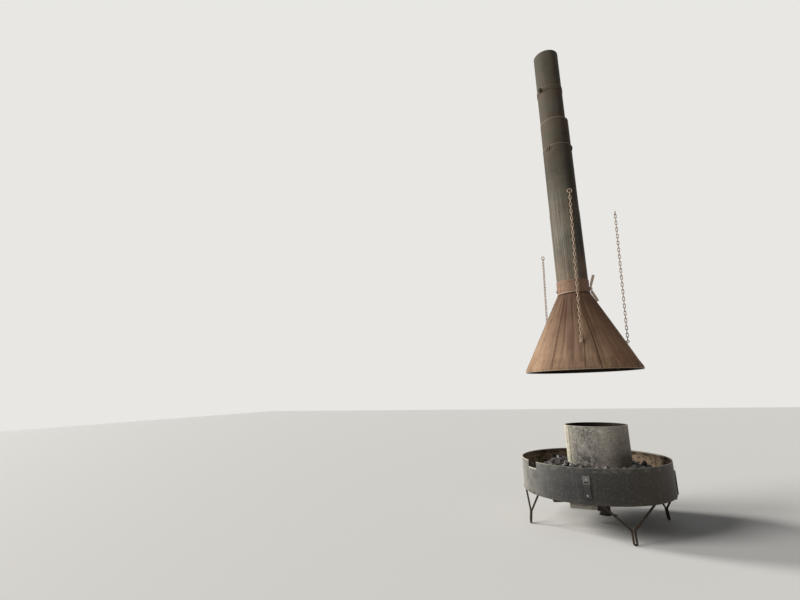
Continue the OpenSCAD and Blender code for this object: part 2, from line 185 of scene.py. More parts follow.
def make_floor():
    corners = [(x * FLOOR_HALF, y * FLOOR_HALF, 0.0) for x, y in ((-1, -1), (1, -1), (1, 1), (-1, 1))]
    mesh = bpy.data.meshes.new("floor")
    mesh.from_pydata(corners, [], [(0, 1, 2, 3)])
    floor = new_object("floor", mesh)
    material = bpy.data.materials.new("floor")
    material.use_nodes = True
    shader = material.node_tree.nodes["Principled BSDF"]
    shader.inputs["Base Color"].default_value = PALE
    shader.inputs["Roughness"].default_value = 0.9
    mesh.materials.append(material)


def make_world():
    world = bpy.data.worlds.new("studio")
    world.use_nodes = True
    bpy.context.scene.world = world
    tree = world.node_tree
    rays = add(tree, "ShaderNodeLightPath").outputs
    mirrored = maths(tree, "MAXIMUM", rays["Is Glossy Ray"], rays["Is Transmission Ray"])
    seen = maths(tree, "MAXIMUM", rays["Is Camera Ray"], mirrored)
    light = (WORLD_LIGHT, WORLD_LIGHT, WORLD_LIGHT * 1.05, 1.0)
    fill(tree, tree.nodes["Background"].inputs["Color"], mix(tree, "RGBA", seen, light, PALE))


def make_sun(name, azimuth, height, strength, spread, colour):
    """A sun lamp that shines from an azimuth, counted from +X, and a height, both in degrees."""
    data = bpy.data.lights.new(name, "SUN")
    data.energy = strength
    data.angle = math.radians(spread)
    data.color = colour
    a, h = math.radians(azimuth), math.radians(height)
    source = Vector((math.cos(a) * math.cos(h), math.sin(a) * math.cos(h), math.sin(h)))
    new_object(name, data).rotation_euler = source.to_track_quat("Z", "Y").to_euler()


make_floor()
make_world()
for name, values in LAMPS.items():
    make_sun(name, **values)
bpy.context.scene.view_settings.view_transform = "Standard"
print("lamps:", list(LAMPS))

# %% [markdown]
# ## Shared effects
# Old sheet metal shows the same few marks again and again: streaks that run down, blotches, a worn
# edge at one height, and soot on inner faces. A sector gives one side of a piece painted light or
# painted shade for the windows. Each is a node group with named inputs, built once and placed in
# many materials. A group puts out a mask: a number from 0 to 1.
# The trees of Geometry Nodes later on are opened by the same function.

# %% Start a shader group
FLOAT = "NodeSocketFloat"
VECTOR = "NodeSocketVector"


def open_tree(name, tree_kind, inputs, result, result_kind):
    """A new tree with named inputs and one result: the tree, what it is given, and what it puts out."""
    tree = bpy.data.node_groups.new(name, tree_kind)
    for label, kind, value in inputs:
        socket = tree.interface.new_socket(label, in_out="INPUT", socket_type=kind)
        if value is not None:
            socket.default_value = value
    tree.interface.new_socket(result, in_out="OUTPUT", socket_type=result_kind)
    start = tree.nodes.new("NodeGroupInput")
    end = tree.nodes.new("NodeGroupOutput")
    return tree, start.outputs, end.inputs


def shader_group(name, inputs, result="Mask"):
    return open_tree(name, "ShaderNodeTree", inputs, result, FLOAT)


def threshold(tree, value, low, high):
    node = add(tree, "ShaderNodeMapRange", interpolation_type="SMOOTHSTEP")
    for label, number in (("Value", value), ("From Min", low), ("From Max", high)):
        fill(tree, node.inputs[label], number)
    return node.outputs["Result"]


def away_from_axis(tree, parts):
    """The level direction from the upright axis to a place, with a length of 1."""
    flat = join(tree, parts[0], parts[1])
    return add(tree, "ShaderNodeVectorMath", {0: flat}, operation="NORMALIZE").outputs[0]


# %% [markdown]
# Streaks and blotches are both noise, cut off to a mask. The streak group wraps its noise round the
# upright axis and stretches it along the height, so on a pipe it gives vertical streaks and on a
# cone it gives streaks that fan out. A painted image could do the same, but it would need unwrapping,
# and a seam would show where its edges meet.

# %% Streaks and blotches
def make_streaks():
    wanted = [("Place", VECTOR, None), ("Around", FLOAT, 8.0), ("Along", FLOAT, 0.5), ("Detail", FLOAT, 4.0),
              ("Low", FLOAT, 0.45), ("High", FLOAT, 0.6)]
    group, given, out = shader_group("streaks", wanted)
    parts = split(group, given["Place"])
    spread = scaled(group, away_from_axis(group, parts), given["Around"])
    rise = join(group, z=maths(group, "MULTIPLY", parts[2], given["Along"]))
    place = vectors(group, "ADD", spread, rise)[0]
    cloud = add(group, "ShaderNodeTexNoise", {"Vector": place, "Scale": 1.0, "Detail": given["Detail"]})
    fill(group, out["Mask"], threshold(group, cloud.outputs[0], given["Low"], given["High"]))
    return group


def make_blotches():
    wanted = [("Place", VECTOR, None), ("Scale", FLOAT, 4.0), ("Detail", FLOAT, 5.0),
              ("Low", FLOAT, 0.45), ("High", FLOAT, 0.6)]
    group, given, out = shader_group("blotches", wanted)
    cloud = add(group, "ShaderNodeTexNoise", {"Vector": given["Place"], "Scale": given["Scale"],
                                              "Detail": given["Detail"], "Roughness": 0.62})
    fill(group, out["Mask"], threshold(group, cloud.outputs[0], given["Low"], given["High"]))
    return group


STREAKS = make_streaks()
BLOTCHES = make_blotches()
print("nodes for streaks and for blotches:", len(STREAKS.nodes), "and", len(BLOTCHES.nodes))

# %% [markdown]
# A band marks one height, such as a rim. A sector marks one side of a round piece: it rises from a
# direction, holds, and fades out over its width. Above a level it may lean, as a crease in a cone
# does, so the angle is corrected by the height before it is compared.

# %% Bands and sectors
def make_level_band():
    wanted = [("Place", VECTOR, None), ("Level", FLOAT, 1.0), ("Reach", FLOAT, 0.01)]
    group, given, out = shader_group("level_band", wanted)
    height = split(group, given["Place"])[2]
    away = maths(group, "ABSOLUTE", maths(group, "SUBTRACT", height, given["Level"]))
    share = maths(group, "DIVIDE", away, given["Reach"])
    fill(group, out["Mask"], threshold(group, share, 1.0, 0.6))
    return group


def make_sector():
    wanted = [("Place", VECTOR, None), ("Turn", FLOAT, 0.0), ("Width", FLOAT, 0.5), ("Soft", FLOAT, 0.015),
              ("Lean", FLOAT, 0.0), ("Level", FLOAT, 0.0), ("Hold", FLOAT, 0.0)]
    group, given, out = shader_group("sector", wanted)
    turned = add(group, "ShaderNodeVectorRotate", {"Vector": given["Place"]}, rotation_type="Z_AXIS")
    fill(group, turned.inputs["Angle"], maths(group, "MULTIPLY", given["Turn"], -1.0))
    parts = split(group, turned.outputs[0])
    climb = maths(group, "MAXIMUM", maths(group, "SUBTRACT", parts[2], given["Level"]), 0.0)
    leaning = maths(group, "MULTIPLY", climb, given["Lean"])
    angle = maths(group, "SUBTRACT", maths(group, "ARCTAN2", parts[1], parts[0]), leaning)
    share = maths(group, "DIVIDE", angle, given["Width"])
    edge = threshold(group, angle, 0.0, given["Soft"])
    fade = threshold(group, share, 1.0, given["Hold"])
    fill(group, out["Mask"], maths(group, "MULTIPLY", edge, fade))
    return group


LEVEL_BAND = make_level_band()
SECTOR = make_sector()
print("nodes for a band and for a sector:", len(LEVEL_BAND.nodes), "and", len(SECTOR.nodes))

# %% [markdown]
# The inside of a wall is where its face looks back at the axis. Relief isn't a mask but a height
# for the Bump node: broad dents with fine grain on top.

# %% Inner faces and relief
def make_inner_face():
    wanted = [("Place", VECTOR, None), ("Normal", VECTOR, None)]
    group, given, out = shader_group("inner_face", wanted)
    outward = away_from_axis(group, split(group, given["Place"]))
    facing = vectors(group, "DOT_PRODUCT", outward, given["Normal"])["Value"]
    fill(group, out["Mask"], threshold(group, facing, -0.05, -0.25))
    return group


def make_relief():
    wanted = [("Place", VECTOR, None), ("Scale", FLOAT, 60.0), ("Dents", FLOAT, 3.0),
              ("Grain Share", FLOAT, 0.2)]
    group, given, out = shader_group("relief", wanted, "Height")
    fine, broad = (add(group, "ShaderNodeTexNoise",
                       {"Vector": given["Place"], "Scale": given[label], "Detail": detail}).outputs[0]
                   for label, detail in (("Scale", 6.0), ("Dents", 2.0)))
    grain = maths(group, "MULTIPLY", fine, given["Grain Share"])
    fill(group, out["Height"], maths(group, "ADD", broad, grain))
    return group


INNER_FACE = make_inner_face()
RELIEF = make_relief()
print("shader groups:", [group.name for group in bpy.data.node_groups])

# %% [markdown]
# ## A finish with layers
# Every finish below is built the same way: a base colour, then layers of other colours, each laid
# on through a mask from one of the groups. This class holds the tree while that is done. The
# Principled shader itself stays in the material, where its plain values are set. A Mapping node
# moves the pattern to a piece's own axis.

# %% The finish class
class Finish:
    def __init__(self, name, base, roughness=0.6, metal=0.0, centre_x=0.0, gloss=0.5):
        self.material = bpy.data.materials.new(name)
        self.material.use_nodes = True
        self.tree = self.material.node_tree
        self.shader = self.tree.nodes["Principled BSDF"]
        self.shader.inputs["Metallic"].default_value = metal
        self.shader.inputs["Specular IOR Level"].default_value = gloss
        coordinates = add(self.tree, "ShaderNodeTexCoord").outputs
        centred = add(self.tree, "ShaderNodeMapping", {"Vector": coordinates["Object"]})
        centred.inputs["Location"].default_value = (-centre_x, 0.0, 0.0)
        self.place = centred.outputs[0]
        self.normal = coordinates["Normal"]
        self.colour = base
        self.rough = roughness

    def group(self, group, **values):
        node = add(self.tree, "ShaderNodeGroup", node_tree=group)
        fill(self.tree, node.inputs["Place"], self.place)
        for name, value in values.items():
            fill(self.tree, node.inputs[name.replace("_", " ")], value)
        return node.outputs[0]

    def streaks(self, around, along, low, high, detail=4.0):
        """Upright streaks: how many come around and along, and the noise where they start and are full."""
        return self.group(STREAKS, Around=around, Along=along, Low=low, High=high, Detail=detail)

    def blotches(self, scale, low, high, detail=5.0):
        return self.group(BLOTCHES, Scale=scale, Low=low, High=high, Detail=detail)

    def band(self, level, reach):
        """A level band: full near a height and gone at a reach above and below it."""
        return self.group(LEVEL_BAND, Level=level, Reach=reach)

    def sector(self, turn, width, soft=0.9, lean=0.0, level=0.0, hold=0.0):
        """A mask that starts at a direction round the axis and fades out over a width, in degrees.
        It holds its full strength first, and above a level it leans aside by so many degrees a metre."""
        return self.group(SECTOR, Turn=math.radians(turn), Width=math.radians(width), Soft=math.radians(soft),
                          Lean=math.radians(lean), Level=level, Hold=hold / width)

    def inside(self):
        return self.group(INNER_FACE, Normal=self.normal)

    def both(self, first, second):
        return maths(self.tree, "MULTIPLY", first, second)

    def lay(self, mask, colour, strength=1.0, roughness=None):
        share = maths(self.tree, "MULTIPLY", mask, strength)
        self.colour = mix(self.tree, "RGBA", share, self.colour, colour)
        if roughness is not None:
            self.rough = mix(self.tree, "FLOAT", share, self.rough, roughness)

    def done(self, scale=60.0, dents=3.0, grain=0.2, depth=0.002, strength=0.6):
        """Link the colour and roughness, add the relief, and give the material."""
        fill(self.tree, self.shader.inputs["Base Color"], self.colour)
        fill(self.tree, self.shader.inputs["Roughness"], self.rough)
        height = self.group(RELIEF, Scale=scale, Dents=dents, Grain_Share=grain)
        bump = add(self.tree, "ShaderNodeBump", {"Height": height, "Distance": depth, "Strength": strength})
        fill(self.tree, self.shader.inputs["Normal"], bump.outputs["Normal"])
        return self.material


def wear(names, material):
    for name in names:
        for slot in nodes[name].material_slots:
            slot.material = material


print("a finish has layers of", [group.name for group in (STREAKS, BLOTCHES, LEVEL_BAND, SECTOR, INNER_FACE)])

# %% [markdown]
# ## Stack
# The stack is dull sheet that has weathered in the smoke. Long streaks run down each length, finer
# and paler ones where rain reaches the lower part, and rust creeps out of the joints. The top is
# darker, as painted shade of the dim roof space. The side away from the windows carries painted
# shade, most of all low down, and the side towards them is painted a little darker to temper their
# light. Each length could have a finish of its own.
# One finish for all is chosen, because its streaks then run on through the joints, as smoke does.
# All directions are in degrees from +X, and -90 is the side that faces the camera.

# %% Stack finish
COLLAR_LOW, COLLAR_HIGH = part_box("hood_collar")
JOINTS = [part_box(name)[1].z for name in ("stack_1", "stack_2", "stack_3", "stack_4")]
JOINT_LINES = (0.1, 0.4, 0.4, 0.4)
SOOT_ROUGHNESS = 0.92


def stack_lower_part(sheet, painted_shade_side):
    lower = sheet.band(COLLAR_HIGH.z + 0.45, 0.95)
    sheet.lay(sheet.both(lower, sheet.streaks(15.0, 0.5, 0.5, 0.64)), paint(176, 176, 172), 0.34)
    sheet.lay(sheet.both(lower, sheet.streaks(40.0, 0.8, 0.55, 0.66)), paint(52, 48, 44), 0.42)
    run = sheet.sector(-117.5, 4.0, soft=1.2, hold=2.0)
    sheet.lay(sheet.both(run, sheet.band(COLLAR_HIGH.z + 0.6, 0.42)), paint(50, 47, 45), 0.6)
    # painted shade on the lower part of the side away from the windows
    sheet.lay(sheet.both(lower, painted_shade_side), paint(28, 20, 13), 0.42)
    foot = sheet.both(sheet.band(COLLAR_HIGH.z, 0.42), sheet.streaks(30.0, 1.4, 0.46, 0.62))
    sheet.lay(foot, paint(132, 100, 78), 0.5)
    foot_pale = sheet.both(sheet.band(COLLAR_HIGH.z, 0.3), sheet.streaks(44.0, 2.4, 0.54, 0.66))
    sheet.lay(foot_pale, paint(176, 158, 134), 0.4)


def stack_finish():
    sheet = Finish("weathered_sheet", paint(146, 138, 122), roughness=0.7, gloss=0.12)
    sheet.lay(sheet.blotches(1.7, 0.42, 0.66), paint(86, 80, 70), 0.7)
    sheet.lay(sheet.streaks(5.0, 0.35, 0.48, 0.76), paint(128, 122, 108), 0.5, 0.5)
    sheet.lay(sheet.streaks(12.0, 0.45, 0.54, 0.72), paint(58, 52, 43), 0.6, 0.7)
    sheet.lay(sheet.streaks(34.0, 0.9, 0.54, 0.68), paint(124, 116, 102), 0.45)
    sheet.lay(sheet.streaks(26.0, 0.7, 0.56, 0.68), paint(46, 41, 34), 0.5)
    # painted shade: darker towards the top, where little window light reaches the roof space
    sheet.lay(sheet.band(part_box("stack_5")[1].z, 3.2), paint(50, 45, 37), 0.6)
    # painted shade on the side away from the windows, deeper above the collar
    painted_shade_side = sheet.sector(-76.0, 170.0, soft=36.0)
    sheet.lay(painted_shade_side, paint(28, 20, 13), 0.76)
    sheet.lay(sheet.both(painted_shade_side, sheet.band(COLLAR_HIGH.z, 2.4)), paint(26, 19, 13), 0.5)
    # painted shade on the side towards the windows, to temper their light
    sheet.lay(sheet.sector(-236.0, 150.0, soft=36.0, hold=84.0), paint(66, 61, 52), 0.5)
    stack_lower_part(sheet, painted_shade_side)
    for level, line in zip(JOINTS, JOINT_LINES):
        near = sheet.both(sheet.band(level - 0.05, 0.2), sheet.streaks(24.0, 1.6, 0.42, 0.62))
        sheet.lay(near, paint(104, 80, 62), 0.45, 0.8)
        sheet.lay(sheet.band(level, 0.007), paint(176, 168, 151), line)
    sheet.lay(sheet.blotches(60.0, 0.62, 0.72), paint(58, 50, 42), 0.5)
    sheet.lay(sheet.inside(), paint(30, 26, 23), 0.92, 0.9)
    return sheet.done(scale=90.0, dents=2.4, grain=0.12, depth=0.004, strength=0.5)


STACK = stack_finish()
wear(["stack_1", "stack_2", "stack_3", "stack_reducer", "stack_4", "stack_5"], STACK)
wear(["stack_band", "stack_lugs"], STACK)
print("stack joints at", [round(level, 2) for level in JOINTS])

# %% [markdown]
# ## Hood
# The hood's sheet has rusted to a warm brown and carries pale dust. Heat drives the marks along the
# slope, so its streaks fan out from the collar. Painted light makes the sheet palest towards the
# windows, and painted shade makes it browner and darker across the middle and away from them. It
# has two marks of its own: a fold that leans across it, shown by a dark line and a darker strip
# beside it that are painted shade, and a crack that runs down from the front chain. More painted
# shade lies in a strip beside the lap at -119, on the gore beyond the lap at -29, and in a dark line
# under the collar. Its inside is black with soot. The laps over the seams wear the same finish from
# a darker base, as painted shade along the seams. The fold and the crack could be cut into the mesh,
# but as narrow sectors of colour they can be moved by a number and leave the sheet whole.

# %% Hood finish
HOOD_LOW, HOOD_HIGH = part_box("hood_rim")


def hood_painted_light_and_shade(sheet):
    # painted light: the side towards the windows is palest
    sheet.lay(sheet.sector(-240.0, 102.0, soft=40.0, hold=40.0), paint(226, 192, 158), 0.4)
    # painted shade across the front and the middle, where the window light falls off
    sheet.lay(sheet.sector(-140.0, 70.0, soft=24.0), paint(108, 81, 63), 0.62)
    middle = sheet.sector(-106.0, 40.0, soft=12.0, hold=14.0, lean=-26.0, level=HOOD_LOW.z + 0.1)
    sheet.lay(middle, paint(88, 68, 60), 0.42)
    # warm brown painted shade on the side away from the windows
    sheet.lay(sheet.sector(-70.0, 120.0, soft=30.0), paint(118, 66, 32), 0.46)


def hood_fold_shade_and_crack(sheet):
    fold = dict(lean=-12.5, level=2.2)
    # painted shade: a darker strip right of the fold and a dark line along it, where the sheet turns from the
    # light
    sheet.lay(sheet.sector(-72.8, 30.0, **fold), paint(128, 92, 68), 0.26, 0.75)
    sheet.lay(sheet.sector(-73.6, 2.0, hold=1.1, **fold), paint(44, 28, 18), 0.85, 0.85)
    crack_line = sheet.sector(-88.2, 1.9, soft=0.5, lean=8.5, level=HOOD_LOW.z, hold=1.1)
    crack = sheet.both(crack_line, sheet.band(HOOD_LOW.z + 0.22, 0.26))
    sheet.lay(crack, paint(58, 38, 25), 0.75, 0.85)
    # painted shade in a strip beside the lap at -119
    sheet.lay(sheet.sector(-119.0, 5.0), paint(88, 66, 52), 0.35)
    # painted shade on the gore beyond the lap at -29, away from the windows
    sheet.lay(sheet.sector(-29.0, 60.0), paint(80, 52, 34), 0.45)


def hood_finish(name, base, darker):
    sheet = Finish(name, base, roughness=0.7, gloss=0.15)
    sheet.lay(sheet.blotches(2.1, 0.42, 0.66), paint(140, 108, 84), 0.6)
    sheet.lay(sheet.streaks(3.5, 0.9, 0.44, 0.76), paint(190, 160, 131), 0.35)
    sheet.lay(sheet.streaks(9.0, 1.4, 0.5, 0.74), darker, 0.5, 0.75)
    sheet.lay(sheet.streaks(20.0, 1.6, 0.52, 0.7), paint(180, 150, 122), 0.45)
    sheet.lay(sheet.streaks(34.0, 2.6, 0.56, 0.7), paint(98, 70, 52), 0.5)
    sheet.lay(sheet.streaks(50.0, 1.6, 0.56, 0.65), paint(86, 61, 46), 0.4)
    sheet.lay(sheet.streaks(42.0, 1.2, 0.57, 0.67), paint(198, 170, 142), 0.3)
    sheet.lay(sheet.blotches(7.0, 0.5, 0.72), paint(104, 74, 55), 0.45, 0.8)
    sheet.lay(sheet.blotches(60.0, 0.58, 0.74), paint(166, 146, 126), 0.3)
    hood_painted_light_and_shade(sheet)
    hood_fold_shade_and_crack(sheet)
    foot = sheet.both(sheet.band(HOOD_LOW.z + 0.05, 0.11), sheet.streaks(22.0, 3.0, 0.4, 0.62))
    sheet.lay(foot, paint(96, 72, 55), 0.4, 0.8)
    crown = sheet.both(sheet.band(COLLAR_LOW.z, 0.26), sheet.streaks(18.0, 1.2, 0.42, 0.6))
    sheet.lay(crown, paint(70, 48, 36), 0.55)
    sheet.lay(sheet.band(COLLAR_LOW.z, 0.9), paint(84, 60, 46), 0.34)
    sheet.lay(sheet.band(COLLAR_LOW.z, 0.5), paint(76, 53, 40), 0.4)
    # painted shadow of the collar's lower edge on the hood
    sheet.lay(sheet.band(COLLAR_LOW.z - 0.012, 0.016), paint(46, 31, 22), 0.75, 0.85)
    sheet.lay(sheet.inside(), paint(27, 20, 16), 0.96, SOOT_ROUGHNESS)
    sheet.lay(sheet.band(HOOD_LOW.z, 0.006), paint(178, 168, 150), 0.8, 0.45)
    return sheet.done(scale=70.0, dents=5.0, grain=0.16, depth=0.006, strength=0.6)


HOOD = hood_finish("rust_streaked_sheet", paint(174, 143, 116), paint(92, 67, 50))
# the laps wear a darker copy of the hood finish, as painted shade along the seams
HOOD_DARK = hood_finish("rusted_lap", paint(126, 98, 77), paint(66, 48, 37))
wear(["hood_gores", "hood_rim"], HOOD)
wear(["hood_seams"], HOOD_DARK)
print("hood from", round(HOOD_LOW.z, 2), "to", round(COLLAR_LOW.z, 2))

# %% [markdown]
# ## Collar
# The collar is a thicker band that has rusted redder than the rest. One noise with more detail could
# roughen it, but three sizes of blotches, each in its own colour, look more like the crust of heavy
# rust. Painted shade darkens the side away from the windows and tempers the light on the side towards
# them, and its lower edge on that side carries a painted highlight.

# %% Collar finish
def collar_finish():
    band = Finish("red_rust_band", paint(150, 121, 99), roughness=0.7, gloss=0.15)
    band.lay(band.streaks(7.0, 2.5, 0.45, 0.66), paint(108, 83, 70), 0.65)
    band.lay(band.streaks(20.0, 3.0, 0.55, 0.72), paint(156, 136, 115), 0.45)
    # painted shade on the side away from the windows
    band.lay(band.sector(-74.0, 120.0, soft=8.0), paint(104, 74, 54), 0.4)
    # painted shade on the side towards the windows, to temper their light
    band.lay(band.sector(-236.0, 116.0, soft=36.0, hold=36.0), paint(110, 86, 70), 0.5)
    band.lay(band.blotches(26.0, 0.52, 0.66), paint(98, 71, 62), 0.55, 0.85)
    band.lay(band.blotches(52.0, 0.5, 0.64), paint(166, 142, 132), 0.4)
    band.lay(band.blotches(90.0, 0.52, 0.66), paint(84, 60, 52), 0.5)
    # painted highlight along the lower edge, on the side of the windows
    lit_side = band.sector(-240.0, 172.0, soft=30.0, hold=136.0)
    band.lay(band.both(band.band(COLLAR_LOW.z, 0.012), lit_side), paint(206, 182, 156), 0.7)
    band.lay(band.band(COLLAR_HIGH.z, 0.005), paint(170, 152, 136), 0.4)
    band.lay(band.inside(), paint(28, 22, 19), 0.95, SOOT_ROUGHNESS)
    return band.done(scale=80.0, dents=7.0, grain=0.25, depth=0.003)


COLLAR = collar_finish()
wear(["hood_collar"], COLLAR)
print("collar height in millimetres:", round((COLLAR_HIGH.z - COLLAR_LOW.z) * 1000.0))

# %% [markdown]
# ## Drum
# The fire drum is pale where heat has turned its zinc and paint to a chalky bloom, and dark where
# coal leans on it. The bloom is strongest under the rim, and fine dark marks pepper the rest. On the
# left side pale chalky patches also paint the sheen of the window light, and a painted highlight
# runs along the edge of the lap. Painted shade darkens the front-left to temper that light, and
# painted light brightens the front and the side away from the windows. The lap could have one plain
# pale colour, but it is the same sheet, so it wears the same layers from a paler base, which also
# paints the highlight along it. The drum's axis isn't the pan's, so the finish is centred on the
# drum.

# %% Drum finish
DRUM_LOW, DRUM_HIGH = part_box("drum_shell")
DRUM_X = (DRUM_LOW.x + DRUM_HIGH.x) / 2.0
DRUM_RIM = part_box("drum_bead")[1].z


def drum_marks(sheet):
    sheet.lay(sheet.blotches(3.0, 0.42, 0.62), paint(128, 123, 116), 0.6)
    sheet.lay(sheet.streaks(5.0, 1.6, 0.5, 0.72), paint(118, 111, 101), 0.4, 0.75)
    sheet.lay(sheet.blotches(13.0, 0.47, 0.58), paint(92, 87, 84), 0.65, 0.75)
    sheet.lay(sheet.blotches(30.0, 0.53, 0.61), paint(184, 179, 164), 0.6, 0.75)
    sheet.lay(sheet.blotches(38.0, 0.54, 0.62, 2.0), paint(66, 60, 56), 0.6, 0.8)
    bloom = sheet.both(sheet.band(DRUM_RIM - 0.035, 0.07), sheet.blotches(14.0, 0.55, 0.66))
    sheet.lay(bloom, paint(222, 217, 198), 0.75, 0.8)
    sheet.lay(sheet.streaks(14.0, 1.0, 0.6, 0.76), paint(192, 188, 172), 0.5)
    foot = sheet.both(sheet.band(DRUM_LOW.z + 0.25, 0.22), sheet.blotches(20.0, 0.38, 0.56))
    sheet.lay(foot, paint(50, 47, 47), 0.9, 0.85)


def drum_sides(sheet):
    # painted shade on the front-left, to temper the window light
    sheet.lay(sheet.sector(-155.0, 62.0, soft=12.0), paint(84, 81, 77), 0.45)
    # painted light on the front and the side away from the windows
    sheet.lay(sheet.sector(-110.0, 170.0, soft=40.0), paint(216, 208, 194), 0.62)
    sheet.lay(sheet.blotches(45.0, 0.54, 0.66), paint(88, 83, 80), 0.55)
    sheet.lay(sheet.blotches(85.0, 0.5, 0.62), paint(104, 100, 97), 0.35)
    # pale chalky patches on the left side, which also paint the sheen of the window light
    left_side = sheet.sector(-200.0, 76.0, soft=24.0, hold=36.0)
    lap = sheet.both(left_side, sheet.blotches(10.0, 0.26, 0.46))
    sheet.lay(lap, paint(216, 210, 188), 0.42, 0.8)
    # painted highlight along the edge of the lap
    lap_edge_highlight = sheet.both(sheet.sector(-169.5, 9.0, soft=2.5, hold=2.5), sheet.blotches(22.0, 0.3, 0.5))
    sheet.lay(lap_edge_highlight, paint(240, 232, 205), 0.7, 0.8)


def drum_finish(name, base):
    sheet = Finish(name, base, roughness=0.65, gloss=0.2, centre_x=DRUM_X)
    drum_marks(sheet)
    drum_sides(sheet)
    sheet.lay(sheet.inside(), paint(38, 28, 23), 0.95, SOOT_ROUGHNESS)
    sheet.lay(sheet.band(DRUM_RIM, 0.005), paint(206, 200, 184), 0.75, 0.45)
    return sheet.done(scale=75.0, dents=6.0, grain=0.2, depth=0.003)


wear(["drum_shell", "drum_bead"], drum_finish("heat_stained_sheet", paint(146, 142, 134)))
# the lap's paler base also paints the highlight that runs along it
DRUM_LAP = drum_finish("chalky_lap", paint(184, 178, 156))
wear(["drum_seam"], DRUM_LAP)
print("drum axis at x =", round(DRUM_X, 3))

# %% [markdown]
# ## Pan
# The pan is dark hot-rolled plate: grey mill scale with dust lying in patches, a dull foot, and a
# rim that tools have rubbed. A painted sheen makes it palest towards the windows, broken by the
# dust, and painted highlights lie there on its rim and on the rubbed lip of the tool notch. From the
# front strap round the side away from the windows, painted shade darkens it. Inside, the wall
# is brown-black, with coal dirt above the bed. The butt straps wear the same finish from a paler
# base, and are paler still near the top.

# %% Pan finish, outside
PAN_LOW, PAN_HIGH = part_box("pan_wall_left")
NOTCH_DEPTH = 0.074
NOTCH_TURN, NOTCH_WIDTH = -149.0, 12.0


def pan_outside(plate):
    plate.lay(plate.blotches(2.2, 0.42, 0.7), paint(76, 75, 73), 0.5, 0.6)
    plate.lay(plate.blotches(7.0, 0.46, 0.7, 8.0), paint(52, 52, 52), 0.5, 0.55)
    plate.lay(plate.streaks(9.0, 1.6, 0.54, 0.78), paint(84, 82, 77), 0.35, 0.6)
    plate.lay(plate.blotches(16.0, 0.5, 0.66), paint(80, 79, 77), 0.45, 0.65)
    plate.lay(plate.band(PAN_LOW.z, 0.26), paint(40, 40, 40), 0.68)
    # painted shade from the front strap round the side away from the windows
    plate.lay(plate.sector(-93.3, 150.0), paint(56, 51, 43), 0.65)
    # painted shade across the front
    plate.lay(plate.sector(-140.0, 100.0, soft=30.0), paint(50, 50, 49), 0.45)
    # warm painted shade on the side away from the windows
    plate.lay(plate.sector(-72.0, 120.0, soft=26.0), paint(76, 58, 42), 0.45)
    # painted sheen of the window light on the left side, broken into dusty patches
    left_side = plate.sector(-244.0, 136.0, soft=52.0, hold=50.0)
    plate.lay(plate.both(left_side, plate.blotches(4.0, 0.16, 0.5)), paint(178, 175, 166), 0.82)
    plate.lay(plate.streaks(24.0, 3.0, 0.6, 0.78), paint(52, 50, 48), 0.45)
    foot = plate.both(plate.band(PAN_LOW.z, 0.045), plate.blotches(15.0, 0.42, 0.62))
    plate.lay(foot, paint(76, 66, 56), 0.6, 0.8)
    plate.lay(plate.blotches(34.0, 0.58, 0.72), paint(76, 69, 60), 0.4, 0.8)
    plate.lay(plate.streaks(44.0, 1.4, 0.52, 0.68), paint(100, 99, 95), 0.22)
    plate.lay(plate.blotches(26.0, 0.52, 0.64), paint(44, 44, 45), 0.32)
    plate.lay(plate.blotches(52.0, 0.5, 0.63), paint(104, 103, 100), 0.26)
    plate.lay(plate.blotches(90.0, 0.54, 0.68), paint(46, 45, 44), 0.35)
    brim = plate.both(plate.band(PAN_HIGH.z - 0.01, 0.05), plate.blotches(16.0, 0.45, 0.62))
    plate.lay(brim, paint(120, 116, 106), 0.4)


print("pan wall from", round(PAN_LOW.z, 3), "to", round(PAN_HIGH.z, 3))

# %% [markdown]
# The marks on the inside are all kept there by the mask of inner faces. The coal dirt above the bed
# and the far left of the wall are painted paler, as painted light where little light reaches, and
# painted shade darkens the right of the wall. A strap is the same plate, paler in its upper
# part, so one function makes both finishes.

# %% Pan finish, inside and rim
def pan_inside(plate):
    wall = mix(plate.tree, "RGBA", plate.blotches(13.0, 0.44, 0.58), paint(78, 64, 51), paint(176, 152, 126))
    plate.lay(plate.inside(), wall, 0.95, 0.88)
    # coal dirt above the bed, painted paler as painted light where little light reaches
    dirt_and_painted_light = plate.both(plate.band(PAN_HIGH.z - 0.11, 0.08), plate.blotches(16.0, 0.4, 0.6))
    # painted light on the far left of the inner wall
    far_left = plate.both(plate.sector(140.0, 66.0, soft=18.0), plate.blotches(10.0, 0.34, 0.54))
    for mask, colour, strength in (
            (dirt_and_painted_light, paint(182, 160, 134), 0.75),
            (plate.band(PAN_HIGH.z - 0.02, 0.04), paint(58, 48, 40), 0.45),
            (far_left, paint(206, 182, 152), 0.48),
            # painted shade on the right of the inner wall
            (plate.sector(-75.0, 200.0, soft=40.0), paint(60, 45, 33), 0.85)):
        plate.lay(plate.both(plate.inside(), mask), colour, strength)


